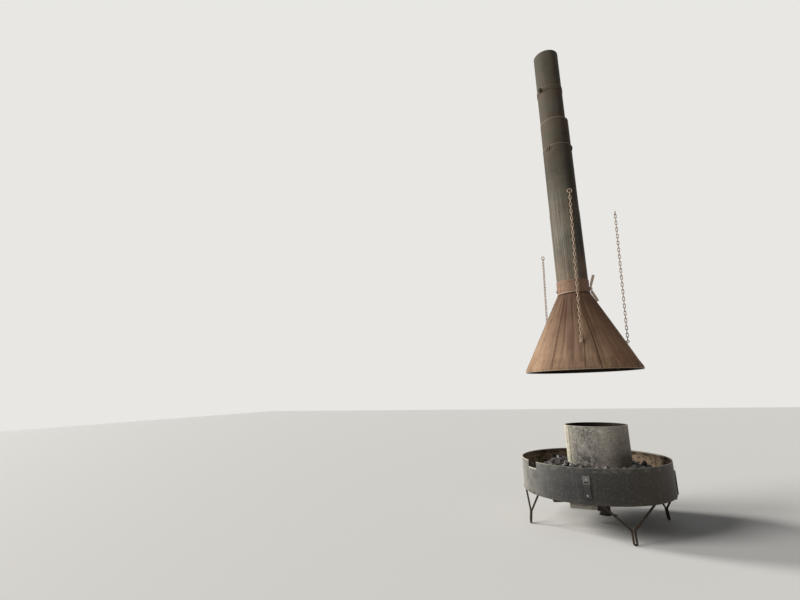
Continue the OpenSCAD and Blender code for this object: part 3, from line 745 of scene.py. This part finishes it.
def pan_rim(plate, pale_top):
    strap_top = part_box("strap_front")[1].z
    # paler near the top of each strap
    plate.lay(plate.band(strap_top - 0.035, 0.06), paint(134, 132, 128), pale_top, 0.55)
    plate.lay(plate.both(plate.inside(), plate.band(PAN_HIGH.z, 0.014)), paint(216, 210, 198), 0.8, 0.5)
    rim = plate.band(PAN_HIGH.z, 0.007)
    plate.lay(rim, paint(128, 124, 115), 0.7, 0.45)
    # painted highlight on the rim along the side of the windows
    plate.lay(plate.both(rim, plate.sector(-236.0, 124.0, soft=36.0, hold=70.0)), paint(226, 220, 206), 0.85)
    # painted highlight on the rubbed lip of the tool notch
    notch = plate.sector(NOTCH_TURN, NOTCH_WIDTH, hold=NOTCH_WIDTH - 1.0)
    notch_lip = plate.both(plate.band(PAN_HIGH.z - NOTCH_DEPTH - 0.006, 0.011), notch)
    plate.lay(notch_lip, paint(206, 200, 186), 0.58, 0.5)


def pan_finish(name, base, pale_top=0.0):
    plate = Finish(name, base, roughness=0.6, metal=0.05, gloss=0.3)
    pan_outside(plate)
    pan_inside(plate)
    pan_rim(plate, pale_top)
    return plate.done(scale=110.0, dents=4.0, grain=0.1, depth=0.002)


STRAP_NODES = ["strap_front", "strap_right", "strap_back", "strap_left"]
wear(["pan_wall_left", "pan_wall_right", "pan_floor"], pan_finish("scuffed_plate", paint(66, 66, 66)))
wear(STRAP_NODES, pan_finish("strap_plate", paint(92, 91, 89), pale_top=0.55))
print("straps:", len(STRAP_NODES))

# %% [markdown]
# ## Bars, castings and chain
# Six small finishes for the iron round the forge: rusted bar for the legs, bearers and damper blade,
# rough casting for the fire pot and grate, a pale pipe for the blast, rubbed heads for the strap
# rivets, worn bright steel for the damper lever, and smoked links for the chains. The pipe's pale
# colour is painted light, so that it shows lit in the shade under the pan. One metal for all of them
# would be quicker, but their colours are what tells these pieces apart.

# %% Bars, castings and pipe
def bar_finish():
    bar = Finish("rusted_bar", paint(52, 45, 37), roughness=0.75, gloss=0.2)
    bar.lay(bar.blotches(16.0, 0.46, 0.62), paint(72, 54, 40), 0.6, 0.85)
    bar.lay(bar.blotches(60.0, 0.56, 0.68), paint(48, 42, 36), 0.7)
    bar.lay(bar.band(0.0, 0.05), paint(96, 86, 72), 0.35)
    return bar.done(scale=160.0, dents=22.0, grain=0.5, depth=0.0012)


def casting_finish():
    iron = Finish("rough_casting", paint(58, 54, 50), roughness=0.8, metal=0.15)
    iron.lay(iron.blotches(9.0, 0.45, 0.62), paint(86, 62, 46), 0.6, 0.9)
    iron.lay(iron.blotches(40.0, 0.55, 0.68), paint(112, 106, 96), 0.4)
    return iron.done(scale=220.0, dents=30.0, grain=0.9, depth=0.0015, strength=0.8)


def pipe_finish():
    # painted light: the pipe is made pale so that it shows lit in the shade under the pan
    pipe = Finish("dusty_pipe", paint(190, 184, 172), roughness=0.7, gloss=0.3)
    pipe.lay(pipe.blotches(12.0, 0.46, 0.62), paint(150, 140, 126), 0.6, 0.85)
    pipe.lay(pipe.blotches(50.0, 0.56, 0.68), paint(210, 204, 192), 0.5)
    return pipe.done(scale=160.0, dents=22.0, grain=0.3, depth=0.001)


BAR = bar_finish()
CASTING = casting_finish()
wear(["leg_1", "leg_2", "leg_3", "leg_4", "bearers", "damper_bosses", "damper_blade"], BAR)
wear(["blast_pipe"], pipe_finish())
wear(["fire_pot", "air_trunk", "ash_gate", "grate"], CASTING)
print("bars and castings wear:", BAR.name, "and", CASTING.name)

# %% [markdown]
# The three finishes of small rubbed pieces share one fine relief, because a link or a rivet is only
# a few millimetres thick.

# %% Bright steel, chain and rivet heads
FINE_RELIEF = dict(scale=240.0, dents=40.0, grain=0.4, depth=0.0006)


def bright_finish():
    steel = Finish("worn_bright_steel", paint(226, 204, 182), roughness=0.55, metal=0.05, gloss=0.4)
    steel.lay(steel.blotches(22.0, 0.48, 0.62), paint(190, 164, 142), 0.6, 0.6)
    steel.lay(steel.blotches(90.0, 0.58, 0.7), paint(96, 76, 62), 0.5, 0.8)
    return steel.done(**FINE_RELIEF)


def chain_finish():
    links = Finish("smoked_chain", paint(176, 152, 130), roughness=0.5, metal=0.15)
    links.lay(links.blotches(30.0, 0.5, 0.66), paint(112, 86, 68), 0.7, 0.8)
    links.lay(links.blotches(110.0, 0.54, 0.68), paint(208, 192, 172), 0.5, 0.4)
    return links.done(**FINE_RELIEF)


def rubbed_finish():
    head = Finish("rubbed_heads", paint(158, 156, 149), roughness=0.6, gloss=0.3)
    head.lay(head.blotches(70.0, 0.5, 0.64), paint(104, 101, 96), 0.6)
    return head.done(**FINE_RELIEF)


BRIGHT = bright_finish()
RUBBED = rubbed_finish()
wear(["chain_front", "chain_right", "chain_left", "chain_rings", "hood_eyes"], chain_finish())
wear(["damper_spindle", "damper_lever"], BRIGHT)
print("small rubbed pieces share the relief", FINE_RELIEF)

# %% [markdown]
# ## Coal and coke
# Broken coal has flat faces that catch the light one by one, so each lump gets its own shade and
# some get dust, picked by a cell pattern. A random value for each object could pick the shade too,
# but here all lumps are one mesh. Coke is grey, dull and pitted, with a dusting of ash.

# %% Coal finishes
def fuel_finish(name, colours, dust_share, cell_scale, roughness):
    dark, mid, dust = colours
    fuel = Finish(name, dark, roughness=roughness)
    cells = add(fuel.tree, "ShaderNodeTexVoronoi", {"Vector": fuel.place, "Scale": cell_scale})
    pick = add(fuel.tree, "ShaderNodeSeparateColor", {0: cells.outputs["Color"]}).outputs
    fuel.lay(pick[0], mid, 0.8)
    fuel.lay(threshold(fuel.tree, pick[1], 0.7, 0.92), dust, dust_share, 0.9)
    fuel.lay(fuel.blotches(7.0, 0.5, 0.68), dust, dust_share * 0.3, 0.9)
    fuel.lay(fuel.blotches(140.0, 0.55, 0.7), paint(20, 18, 17), 0.6)
    return fuel.done(scale=260.0, dents=60.0, grain=0.6, depth=0.002, strength=0.8)


COAL = fuel_finish("broken_coal", (paint(17, 15, 15), paint(54, 49, 46), paint(162, 153, 145)),
                   dust_share=0.6, cell_scale=16.0, roughness=0.36)
COKE = fuel_finish("dull_coke", (paint(46, 44, 43), paint(86, 83, 80), paint(150, 144, 136)),
                   dust_share=0.5, cell_scale=40.0, roughness=0.8)
wear(["coal_bed"], COAL)
wear(["coke_bed"], COKE)
print("fuel finishes:", COAL.name, "and", COKE.name)

# %% [markdown]
# ## Growing repeated parts
# Rivets, bolts and lumps repeat by the hundred. Array modifiers could copy them, but Geometry Nodes
# place them with one tree, and a change there reaches every head. A maker object gets the tree, its
# inputs are set by socket identifier, and the evaluated result becomes a plain mesh. Then the
# modifier goes, and the piece rides on its body.

# %% Tree and piece helpers
GEOMETRY = "NodeSocketGeometry"
INTEGER = "NodeSocketInt"
MATERIAL = "NodeSocketMaterial"
OBJECT = "NodeSocketObject"


def geometry_tree(name, inputs):
    return open_tree(name, "GeometryNodeTree", [("Geometry", GEOMETRY, None)] + inputs, "Geometry", GEOMETRY)


def close_tree(tree, geometry, material, out):
    whole = add(tree, "GeometryNodeRealizeInstances", {"Geometry": geometry})
    dressed = add(tree, "GeometryNodeSetMaterial", {"Geometry": whole.outputs[0], "Material": material})
    fill(tree, out["Geometry"], dressed.outputs[0])


def grow(name, tree, body, slot, **values):
    maker = new_object(name, bpy.data.meshes.new(name + "_start"))
    modifier = maker.modifiers.new("grow", "NODES")
    modifier.node_group = tree
    for item in tree.interface.items_tree:
        key = item.name.replace(" ", "_").lower()
        if item.in_out == "INPUT" and key in values:
            modifier[item.identifier] = values[key]
    graph = bpy.context.evaluated_depsgraph_get()
    mesh = bpy.data.meshes.new_from_object(maker.evaluated_get(graph), depsgraph=graph)
    mesh.name = name
    maker.modifiers.clear()
    maker.data = mesh
    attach(maker, body)
    print(name, "faces:", len(mesh.polygons))


# %% [markdown]
# ## Heads in rows
# One tree makes every row of rivet and bolt heads. A line of points climbs a pipe or a cone, a dome
# stands on each point, and the row is turned round the axis as often as wanted. A ring of rivets is
# many rows of one head. The dome is a sphere whose lower half is pressed flat, and it stands square
# to the sheet, which leans by the difference of the two radii.

# %% Rivet tree
def make_dome(tree, radius, rise):
    """A half sphere of radius 1, and the scale that makes it a head."""
    ball = add(tree, "GeometryNodeMeshUVSphere", {"Segments": 10, "Rings": 6, "Radius": 1.0}).outputs[0]
    parts = split(tree, add(tree, "GeometryNodeInputPosition").outputs[0])
    pressed = join(tree, parts[0], parts[1], maths(tree, "MAXIMUM", parts[2], 0.0))
    dome = add(tree, "GeometryNodeSetPosition", {"Geometry": ball, "Position": pressed}).outputs[0]
    return dome, join(tree, radius, radius, rise)


def make_head_rows():
    wanted = [("Foot Radius", FLOAT, 0.2), ("Foot Height", FLOAT, 0.0), ("Top Radius", FLOAT, 0.2),
              ("Top Height", FLOAT, 1.0), ("Heads", INTEGER, 1), ("Rows", INTEGER, 1),
              ("First Turn", FLOAT, 0.0), ("Row Turn", FLOAT, 0.0), ("Axis X", FLOAT, 0.0),
              ("Head Radius", FLOAT, 0.006), ("Head Rise", FLOAT, 0.004), ("Finish", MATERIAL, None)]
    tree, given, out = geometry_tree("head_rows", wanted)
    dome, size = make_dome(tree, given["Head Radius"], given["Head Rise"])
    foot = join(tree, given["Foot Radius"], z=given["Foot Height"])
    top = join(tree, given["Top Radius"], z=given["Top Height"])
    line = add(tree, "GeometryNodeMeshLine", {"Count": given["Heads"], "Start Location": foot, "Offset": top},
               mode="END_POINTS")
    climb = maths(tree, "SUBTRACT", given["Top Height"], given["Foot Height"])
    draw_in = maths(tree, "SUBTRACT", given["Foot Radius"], given["Top Radius"])
    outward = join(tree, climb, z=draw_in)
    facing = add(tree, "FunctionNodeAlignRotationToVector", {"Vector": outward}, axis="Z").outputs[0]
    row = add(tree, "GeometryNodeInstanceOnPoints",
              {"Points": line.outputs[0], "Instance": dome, "Rotation": facing, "Scale": size}).outputs[0]
    starts = add(tree, "GeometryNodePoints", {"Count": given["Rows"]}).outputs[0]
    number = add(tree, "GeometryNodeInputIndex").outputs[0]
    turn = maths(tree, "ADD", given["First Turn"], maths(tree, "MULTIPLY", number, given["Row Turn"]))
    around = add(tree, "FunctionNodeEulerToRotation", {0: join(tree, z=turn)}).outputs[0]
    ring = add(tree, "GeometryNodeInstanceOnPoints",
               {"Points": starts, "Instance": row, "Rotation": around}).outputs[0]
    shift = join(tree, given["Axis X"])
    moved = add(tree, "GeometryNodeTransform", {"Geometry": ring, "Translation": shift}).outputs[0]
    close_tree(tree, moved, given["Finish"], out)
    return tree


HEAD_ROWS = make_head_rows()
print("rivet tree nodes:", len(HEAD_ROWS.nodes))

# %% [markdown]
# Two functions use the tree: one for rows that climb a seam, and one for a ring of single heads. In
# a ring the row's top only says which way is up.

# %% Rows and rings of heads
RING_TOP = 0.01


def heads(name, radius, low, high, finish, slot, count=1, rows=1, first=0.0, step=0.0, axis_x=0.0,
          head=0.006, rise=0.004, top_radius=None):
    """Rows of heads from height low to high, at turns given in degrees from +X."""
    grow(name, HEAD_ROWS, "forge", slot, foot_radius=radius, foot_height=low,
         top_radius=radius if top_radius is None else top_radius, top_height=high, heads=count,
         rows=rows, first_turn=math.radians(first), row_turn=math.radians(step), axis_x=axis_x,
         head_radius=head, head_rise=rise, finish=finish)


def ring_of_heads(name, radius, height, finish, slot, count, first, **size):
    heads(name, radius, height, height + RING_TOP, finish, slot,
          rows=count, first=first, step=360.0 / count, **size)

# %% [markdown]
# ## Hood skin
# Thin sheet never stays true. A new skin stands for the hood's gores: the same cone, pressed in by a
# few millimetres along creases that fan out, more in the middle of each gore and not at all at
# the laps, at the rim or round the chain eyes. First comes the depth of the dents. A reach says
# over which share of a gore, or of the cone's height, the sheet comes free of what holds it. The
# dents could be sculpted, but a formula gives the same sheet each time and keeps its edges true.

# %% How far the sheet is pressed in
GORES = 8
FIRST_SEAM = -74.0
CONE_LOW, CONE_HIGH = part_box("hood_gores")
EYE_LOW, EYE_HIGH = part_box("hood_eyes")
EYE_HEIGHT = (EYE_LOW.z + EYE_HIGH.z) / 2.0
EYE_TURNS = [math.radians(turn) for turn in (-87.4, 0.0, 137.0)]
DENT_DEPTH = 0.011
LAP_REACH, RIM_REACH, COLLAR_REACH = 0.16, 0.12, 0.2
EYE_CLEAR, EYE_REACH = 0.03, 0.06
FOLDS, RIPPLES = 3.4, 9.0


def cone_share(height):
    """How far up the cone a height is, from 0 at the rim to 1 at the collar."""
    return (height - CONE_LOW.z) / (CONE_HIGH.z - CONE_LOW.z)


def cone_radius(height):
    return CONE_HIGH.x + (COLLAR_HIGH.x - CONE_HIGH.x) * cone_share(height)


def ease(value):
    value = min(max(value, 0.0), 1.0)
    return value * value * (3.0 - 2.0 * value)


def freedom(turn, height):
    """How free the sheet is to bend: 1 in the open, 0 where a lap, an edge or an eye holds it."""
    in_gore = ((turn - math.radians(FIRST_SEAM)) / (2.0 * math.pi) * GORES) % 1.0
    free = ease(min(in_gore, 1.0 - in_gore) / LAP_REACH)
    share = cone_share(height)
    free *= ease(share / RIM_REACH) * ease((1.0 - share) / COLLAR_REACH)
    for eye in EYE_TURNS:
        aside = math.remainder(turn - eye, 2.0 * math.pi) * cone_radius(EYE_HEIGHT)
        away = math.hypot(aside, height - EYE_HEIGHT)
        free *= ease((away - EYE_CLEAR) / EYE_REACH)
    return free


def dent(turn, height):
    """How far the sheet is pressed in: sharp creases, and soft ripples between them."""
    fold = noise.noise(Vector((math.cos(turn) * FOLDS, math.sin(turn) * FOLDS, height * 0.7)))
    ripple = noise.noise(Vector((math.cos(turn) * RIPPLES, math.sin(turn) * RIPPLES, height * 1.3 + 5.0)))
    crease = max(0.0, 1.0 - abs(fold) * 5.0)
    return DENT_DEPTH * freedom(turn, height) * (0.6 * crease + 0.5 * max(ripple, 0.0))


print("cone radius at rim and collar:", [round(cone_radius(end.z), 3) for end in (CONE_LOW, CONE_HIGH)])

# %% [markdown]
# The skin is one closed shell with its real wall. Rings of points go up the outside and come down
# the inside, and each ring is joined to the next one, the last to the first.

# %% Build the skin
HOOD_WALL = 0.0034
TURNS = 360
LEVELS = 44


def skin_ring(level, wall):
    height = CONE_LOW.z + (CONE_HIGH.z - CONE_LOW.z) * level / LEVELS
    ring = []
    for step in range(TURNS):
        turn = 2.0 * math.pi * step / TURNS
        radius = cone_radius(height) - wall - dent(turn, height)
        ring.append((radius * math.cos(turn), radius * math.sin(turn), height))
    return ring


def make_hood_skin():
    rings = [skin_ring(level, 0.0) for level in range(LEVELS + 1)]
    rings += [skin_ring(level, HOOD_WALL) for level in range(LEVELS, -1, -1)]
    faces = []
    for row in range(len(rings)):
        here, above = row * TURNS, (row + 1) % len(rings) * TURNS
        for step in range(TURNS):
            beside = (step + 1) % TURNS
            faces.append((here + step, here + beside, above + beside, above + step))
    mesh = bpy.data.meshes.new("hood_skin")
    mesh.from_pydata([point for ring in rings for point in ring], [], faces)
    mesh.materials.append(HOOD)
    mesh.polygons.foreach_set("use_smooth", [True] * len(mesh.polygons))
    mesh.set_sharp_from_angle(angle=math.radians(40.0))
    skin = new_object("hood_skin", mesh)
    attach(skin, "forge")
    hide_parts("hood_gores")
    print("hood skin faces:", len(mesh.polygons))


make_hood_skin()

# %% [markdown]
# ## Rivets of the hood
# Each gore laps the next and one row of rivets holds the lap. Another ring of rivets holds the rim
# band, and two rings hold the collar to the cone and to the stack. A bump could fake such small
# heads, but these stand against the light at the hood's edge, so they are real domes.

# %% Hood rivets
SEAM_RISE = 0.0022
SEAM_END = 0.03
SEAM_RIVETS = 15
RIM_RIVETS = 40
COLLAR_RIVETS = 18
COLLAR_EDGE = 0.02
RIVET = dict(head=0.0065, rise=0.0035)

seam_low, seam_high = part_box("hood_seams")
row_low, row_high = seam_low.z + SEAM_END, seam_high.z - SEAM_END
heads("hood_seam_rivets", cone_radius(row_low) + SEAM_RISE, row_low, row_high, HOOD_DARK, "hood_sheet",
      count=SEAM_RIVETS, rows=GORES, first=FIRST_SEAM, step=360.0 / GORES,
      top_radius=cone_radius(row_high) + SEAM_RISE, **RIVET)
ring_of_heads("rim_rivets", HOOD_HIGH.x, (HOOD_LOW.z + HOOD_HIGH.z) / 2.0, HOOD_DARK, "hood_sheet",
              count=RIM_RIVETS, first=FIRST_SEAM, **RIVET)
for label, height in (("low", COLLAR_LOW.z + COLLAR_EDGE), ("high", COLLAR_HIGH.z - COLLAR_EDGE)):
    ring_of_heads("collar_rivets_" + label, COLLAR_HIGH.x, height, COLLAR, "collar_sheet",
                  count=COLLAR_RIVETS, first=10.0, **RIVET)

# %% [markdown]
# ## Seams of the stack
# A sheet pipe is rolled and lapped, so each length has one straight seam. Its strip is a thin curved
# plate made from the pipe's own radius and sunk into it by a hair, so that no gap shows. It could be
# cut out of a wider pipe, but a plate built from its corners is exact and has few faces.

# %% Curved seam strip
STRIP_WIDTH = 0.026
STRIP_RISE = 0.002
STRIP_SINK = 0.0004
STRIP_COLUMNS = 6


def strip_row(build, reach, centre_x, turn, half, height):
    row = []
    for column in range(STRIP_COLUMNS + 1):
        angle = math.radians(turn) - half + 2.0 * half * column / STRIP_COLUMNS
        row.append(build.verts.new((centre_x + reach * math.cos(angle), reach * math.sin(angle), height)))
    return row


def make_strip(name, radius, centre_x, turn, low, high, finish):
    """A thin curved plate on a pipe, at a turn in degrees, closed on all sides."""
    half = STRIP_WIDTH / radius / 2.0
    build = bmesh.new()
    low_in, low_out, high_in, high_out = (
        strip_row(build, reach, centre_x, turn, half, height)
        for height in (low, high) for reach in (radius - STRIP_SINK, radius + STRIP_RISE))
    for column in range(STRIP_COLUMNS):
        for one, other in ((low_out, high_out), (high_in, low_in), (low_in, low_out), (high_out, high_in)):
            build.faces.new((one[column], one[column + 1], other[column + 1], other[column]))
    for column in (0, STRIP_COLUMNS):
        build.faces.new([row[column] for row in (low_in, low_out, high_out, high_in)])
    bmesh.ops.recalc_face_normals(build, faces=build.faces)
    mesh = bpy.data.meshes.new(name)
    build.to_mesh(mesh)
    build.free()
    mesh.materials.append(finish)
    strip = new_object(name, mesh)
    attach(strip, "forge")


# %% [markdown]
# The seams of neighbouring lengths are set at different turns, so that no two of them meet. Rivets
# close each seam, and small screws hold two of the laps.

# %% Stack seams and screws
SEAM_TURNS = {"stack_1": 118.0, "stack_2": 62.0, "stack_3": 150.0, "stack_4": 40.0, "stack_5": 96.0}
FOOT_GAP, TOP_GAP, COLLAR_GAP = 0.09, 0.075, 0.01
SEAM_PITCH = 0.075
FEWEST_RIVETS = 3
SCREWS = 6
SCREW_DROP = 0.03

for name, turn in SEAM_TURNS.items():
    low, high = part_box(name)
    radius = (high.x - low.x) / 2.0
    centre = (high.x + low.x) / 2.0
    foot = max(low.z + FOOT_GAP, COLLAR_HIGH.z + COLLAR_GAP)
    top = high.z - TOP_GAP
    make_strip(name + "_seam", radius, centre, turn, foot, top, STACK)
    heads(name + "_seam_rivets", radius + STRIP_RISE, foot + SEAM_END, top - SEAM_END, STACK, "stack_sheet",
          count=max(FEWEST_RIVETS, round((top - foot) / SEAM_PITCH)), first=turn, axis_x=centre,
          head=0.005, rise=0.003)
for name in ("stack_1", "stack_2"):
    low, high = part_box(name)
    ring_of_heads(name + "_screws", high.x, high.z - SCREW_DROP, BAR, "leg_steel",
                  count=SCREWS, first=12.0, head=0.006, rise=0.0035)

# %% [markdown]
# ## Bolts and rivets below
# A rivet near each end holds the butt straps to the wall plates, the leg bars are bolted at
# the foot of the wall, and the drum's lap has a row along each edge. The lugs of the stack joint
# have one bolt each. They could be placed one by one by eye, but heights taken from the pieces' own
# boxes, at listed turns, keep them seated.

# %% Pan, drum and lug heads
STRAP_TURN, STRAP_FOOT, STRAP_END = -96.0, 0.027, 0.036
PAN_RADIUS = 0.852
STRAP_RADIUS = PAN_RADIUS + 0.012
LEGS, LEG_TURN, LEG_BOLT_ASIDE, LEG_BOLT_RISE = 4, 22.0, 14.5, 0.012
LAP_TURN, LAP_RIVETS, LAP_RIVET_ASIDE, LAP_END, LAP_RISE = -158.0, 8, 7.6, 0.02, 0.005
LUGS, LUG_TURN, LUG_RADIUS = 3, -128.0, 0.206

for number, name in enumerate(STRAP_NODES):
    low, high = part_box(name)
    heads(name + "_rivets", STRAP_RADIUS, low.z + STRAP_FOOT, high.z - STRAP_END, RUBBED, "bright_steel",
          count=2, first=STRAP_TURN + 90.0 * number, head=0.011, rise=0.0008)
for label, side in (("near", -1.0), ("far", 1.0)):
    ring_of_heads("leg_bolts_" + label, PAN_RADIUS, PAN_LOW.z + LEG_BOLT_RISE, CASTING, "leg_steel",
                  count=LEGS, first=LEG_TURN + side * LEG_BOLT_ASIDE, head=0.014, rise=0.004)
seam_low, seam_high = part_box("drum_seam")
lap_radius = (DRUM_HIGH.x - DRUM_LOW.x) / 2.0 + LAP_RISE
for label, side in (("near", -1.0), ("far", 1.0)):
    heads("drum_rivets_" + label, lap_radius, seam_low.z + LAP_END, seam_high.z - LAP_END, DRUM_LAP,
          "drum_steel", count=LAP_RIVETS, first=LAP_TURN + side * LAP_RIVET_ASIDE, axis_x=DRUM_X,
          head=0.007, rise=0.004)
lug_low, lug_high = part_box("stack_lugs")
ring_of_heads("lug_bolts", LUG_RADIUS, (lug_low.z + lug_high.z) / 2.0, BAR, "leg_steel",
              count=LUGS, first=LUG_TURN, head=0.011, rise=0.008)

# %% [markdown]
# ## Hexagon bolts
# The clamp band closes with a bolt through its two ears, and a nut holds the damper lever on its
# spindle. A node tree could make them as well, but there are only three, so mesh code is shorter: a
# six-sided prism with a small chamfer round its top, on a round shank.

# %% Hexagon bolts
SHANK_SHARE = 0.26
SHANK_TIP = 0.003
CHAMFER_SHARE = 0.08
ON_TOP = 1e-6


def make_hexagon(name, centre, axis, across, depth, body, finish, shank=0.0):
    """A six-sided head that stands on centre along axis. Its round shank shows above it, and
    reaches back behind the centre as far as is asked for."""
    build = bmesh.new()
    for radius, low, high, sides in ((across / 2.0, 0.0, depth, 6),
                                     (across * SHANK_SHARE, -shank, depth + SHANK_TIP, 12)):
        made = bmesh.ops.create_cone(build, cap_ends=True, segments=sides, radius1=radius, radius2=radius,
                                     depth=high - low)
        bmesh.ops.translate(build, verts=made["verts"], vec=(0.0, 0.0, (low + high) / 2.0))
    edges = [edge for edge in build.edges if all(abs(vert.co.z - depth) < ON_TOP for vert in edge.verts)]
    bmesh.ops.bevel(build, geom=edges, offset=across * CHAMFER_SHARE, segments=2, affect="EDGES")
    turn = Vector(axis).to_track_quat("Z", "Y").to_matrix().to_4x4()
    bmesh.ops.transform(build, matrix=Matrix.Translation(Vector(centre)) @ turn, verts=build.verts)
    mesh = bpy.data.meshes.new(name)
    build.to_mesh(mesh)
    build.free()
    mesh.materials.append(finish)
    bolt = new_object(name, mesh)
    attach(bolt, body)
    print(name, "across in millimetres:", round(across * 1000.0, 1))


# %% [markdown]
# The bolt sits where the band's ears are, a little outside the pipe, with its head on one ear and
# its nut on the other. The lever's nut sits near the end of the spindle, and turns with it.

# %% Band bolt and lever nut
EAR_TURN = math.radians(-130.0)
EAR_HALF = 0.013
EAR_REACH = 0.2
NUT_FROM_END = 0.004

band_low, band_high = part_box("stack_band")
pipe_low, pipe_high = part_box("stack_5")
ear_out = Vector((math.cos(EAR_TURN), math.sin(EAR_TURN), 0.0))
ear_side = Vector((-math.sin(EAR_TURN), math.cos(EAR_TURN), 0.0))
band_middle = Vector(((pipe_low.x + pipe_high.x) / 2.0, 0.0, (band_low.z + band_high.z) / 2.0))
ear_middle = band_middle + ear_out * EAR_REACH
make_hexagon("band_bolt", ear_middle - ear_side * EAR_HALF, -ear_side, across=0.02, depth=0.008,
             body="forge", finish=BAR, shank=2.0 * EAR_HALF)
make_hexagon("band_nut", ear_middle + ear_side * EAR_HALF, ear_side, across=0.02, depth=0.01,
             body="forge", finish=BAR)
spindle_low, spindle_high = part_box("damper_spindle")
nut_seat = (spindle_high.x - NUT_FROM_END, 0.0, (spindle_low.z + spindle_high.z) / 2.0)
make_hexagon("lever_nut", nut_seat, (1.0, 0.0, 0.0), across=0.017, depth=0.012,
             body="damper", finish=BRIGHT)

# %% [markdown]
# ## Coal on the bed
# Lumps could be dropped and left to settle, but that takes long and ends a little differently each
# time. So they are scattered over the bed with a fixed seed, a little away from the pan wall and
# the drum. A point stays where it is nearer to one axis than the outer limit and farther from the
# other than the inner limit, and only on faces that look up.

# %% Places for lumps
UPWARD = 0.3


def reach_from(tree, parts, centre_x):
    """How far a place is from the upright axis at centre_x."""
    aside = maths(tree, "SUBTRACT", parts[0], centre_x)
    squares = [maths(tree, "MULTIPLY", part, part) for part in (aside, parts[1])]
    return maths(tree, "SQRT", maths(tree, "ADD", *squares))


def lump_places(tree, given, place):
    bed = add(tree, "GeometryNodeObjectInfo", {"Object": given["Bed"]}).outputs["Geometry"]
    normal = add(tree, "GeometryNodeInputNormal").outputs[0]
    looks_up = maths(tree, "GREATER_THAN", split(tree, normal)[2], UPWARD)
    spots = add(tree, "GeometryNodeDistributePointsOnFaces",
                {"Mesh": bed, "Selection": looks_up, "Distance Min": given["Spacing"],
                 "Density Max": given["Most"], "Seed": given["Seed"]}, distribute_method="POISSON")
    parts = split(tree, place)
    within = maths(tree, "LESS_THAN", reach_from(tree, parts, given["Outer X"]), given["Outer Limit"])
    beyond = maths(tree, "GREATER_THAN", reach_from(tree, parts, given["Inner X"]), given["Inner Limit"])
    outside = maths(tree, "SUBTRACT", 1.0, maths(tree, "MULTIPLY", within, beyond))
    kept = {"Geometry": spots.outputs[0], "Selection": outside}
    return add(tree, "GeometryNodeDeleteGeometry", kept, domain="POINT").outputs[0]


# %% [markdown]
# Each lump is a small faceted ball, turned and sized at random, and then the whole crowd is pushed
# about by noise, so that no two lumps are alike. The Random Value node has one pair of sockets for
# vectors and another for numbers.

# %% Lump tree
SQUASH_SEED = 11
CHIP_SCALE = 55.0


def random_between(tree, low, high, seed, kind="FLOAT_VECTOR"):
    first, result = {"FLOAT_VECTOR": (0, 0), "FLOAT": (2, 1)}[kind]
    inputs = {first: low, first + 1: high, "Seed": seed}
    return add(tree, "FunctionNodeRandomValue", inputs, data_type=kind).outputs[result]


def make_lump_tree():
    wanted = [("Bed", OBJECT, None), ("Outer Limit", FLOAT, 0.8), ("Outer X", FLOAT, 0.0),
              ("Inner Limit", FLOAT, 0.0), ("Inner X", FLOAT, 0.0), ("Spacing", FLOAT, 0.03),
              ("Most", FLOAT, 2000.0), ("Smallest", FLOAT, 0.01), ("Largest", FLOAT, 0.02),
              ("Facets", INTEGER, 2), ("Chipping", FLOAT, 0.02), ("Seed", INTEGER, 3),
              ("Finish", MATERIAL, None)]
    tree, given, out = geometry_tree("lumps_on_bed", wanted)
    place = add(tree, "GeometryNodeInputPosition").outputs[0]
    ball = add(tree, "GeometryNodeMeshIcoSphere", {"Radius": 1.0, "Subdivisions": given["Facets"]}).outputs[0]
    spin = random_between(tree, (0.0, 0.0, 0.0), (math.pi, math.pi, math.pi), given["Seed"])
    turned = add(tree, "FunctionNodeEulerToRotation", {0: spin}).outputs[0]
    squash = random_between(tree, (0.7, 0.7, 0.5), (1.15, 1.0, 0.8), SQUASH_SEED)
    size = random_between(tree, given["Smallest"], given["Largest"], given["Seed"], kind="FLOAT")
    crowd = add(tree, "GeometryNodeInstanceOnPoints",
                {"Points": lump_places(tree, given, place), "Instance": ball, "Rotation": turned,
                 "Scale": scaled(tree, squash, size)}).outputs[0]
    whole = add(tree, "GeometryNodeRealizeInstances", {"Geometry": crowd}).outputs[0]
    cloud = add(tree, "ShaderNodeTexNoise", {"Vector": place, "Scale": CHIP_SCALE, "Detail": 1.0}).outputs[1]
    push = scaled(tree, vectors(tree, "SUBTRACT", cloud, (0.5, 0.5, 0.5))[0], given["Chipping"])
    chipped = add(tree, "GeometryNodeSetPosition", {"Geometry": whole, "Offset": push}).outputs[0]
    close_tree(tree, chipped, given["Finish"], out)
    return tree


LUMPS = make_lump_tree()
print("lump tree nodes:", len(LUMPS.nodes))

# %% [markdown]
# The coal lies between the pan wall and the drum, and the coke lies inside the drum, so both use
# the same tree with different limits. Finer coal fills the spaces between the larger lumps.

# %% Scatter coal and coke
grow("coal_lumps", LUMPS, "forge", "coal", bed=nodes["coal_bed"], outer_limit=0.815, outer_x=0.0,
     inner_limit=0.4, inner_x=DRUM_X, spacing=0.052, most=420.0, smallest=0.028, largest=0.056,
     facets=1, chipping=0.03, seed=4, finish=COAL)
grow("coal_fines", LUMPS, "forge", "coal", bed=nodes["coal_bed"], outer_limit=0.835, outer_x=0.0,
     inner_limit=0.376, inner_x=DRUM_X, spacing=0.012, most=6000.0, smallest=0.004, largest=0.01,
     facets=1, chipping=0.012, seed=9, finish=COAL)
grow("coke_lumps", LUMPS, "forge", "coal", bed=nodes["coke_bed"], outer_limit=0.325, outer_x=DRUM_X,
     inner_limit=-1.0, inner_x=DRUM_X, spacing=0.028, most=1600.0, smallest=0.014, largest=0.03,
     facets=2, chipping=0.035, seed=6, finish=COKE)
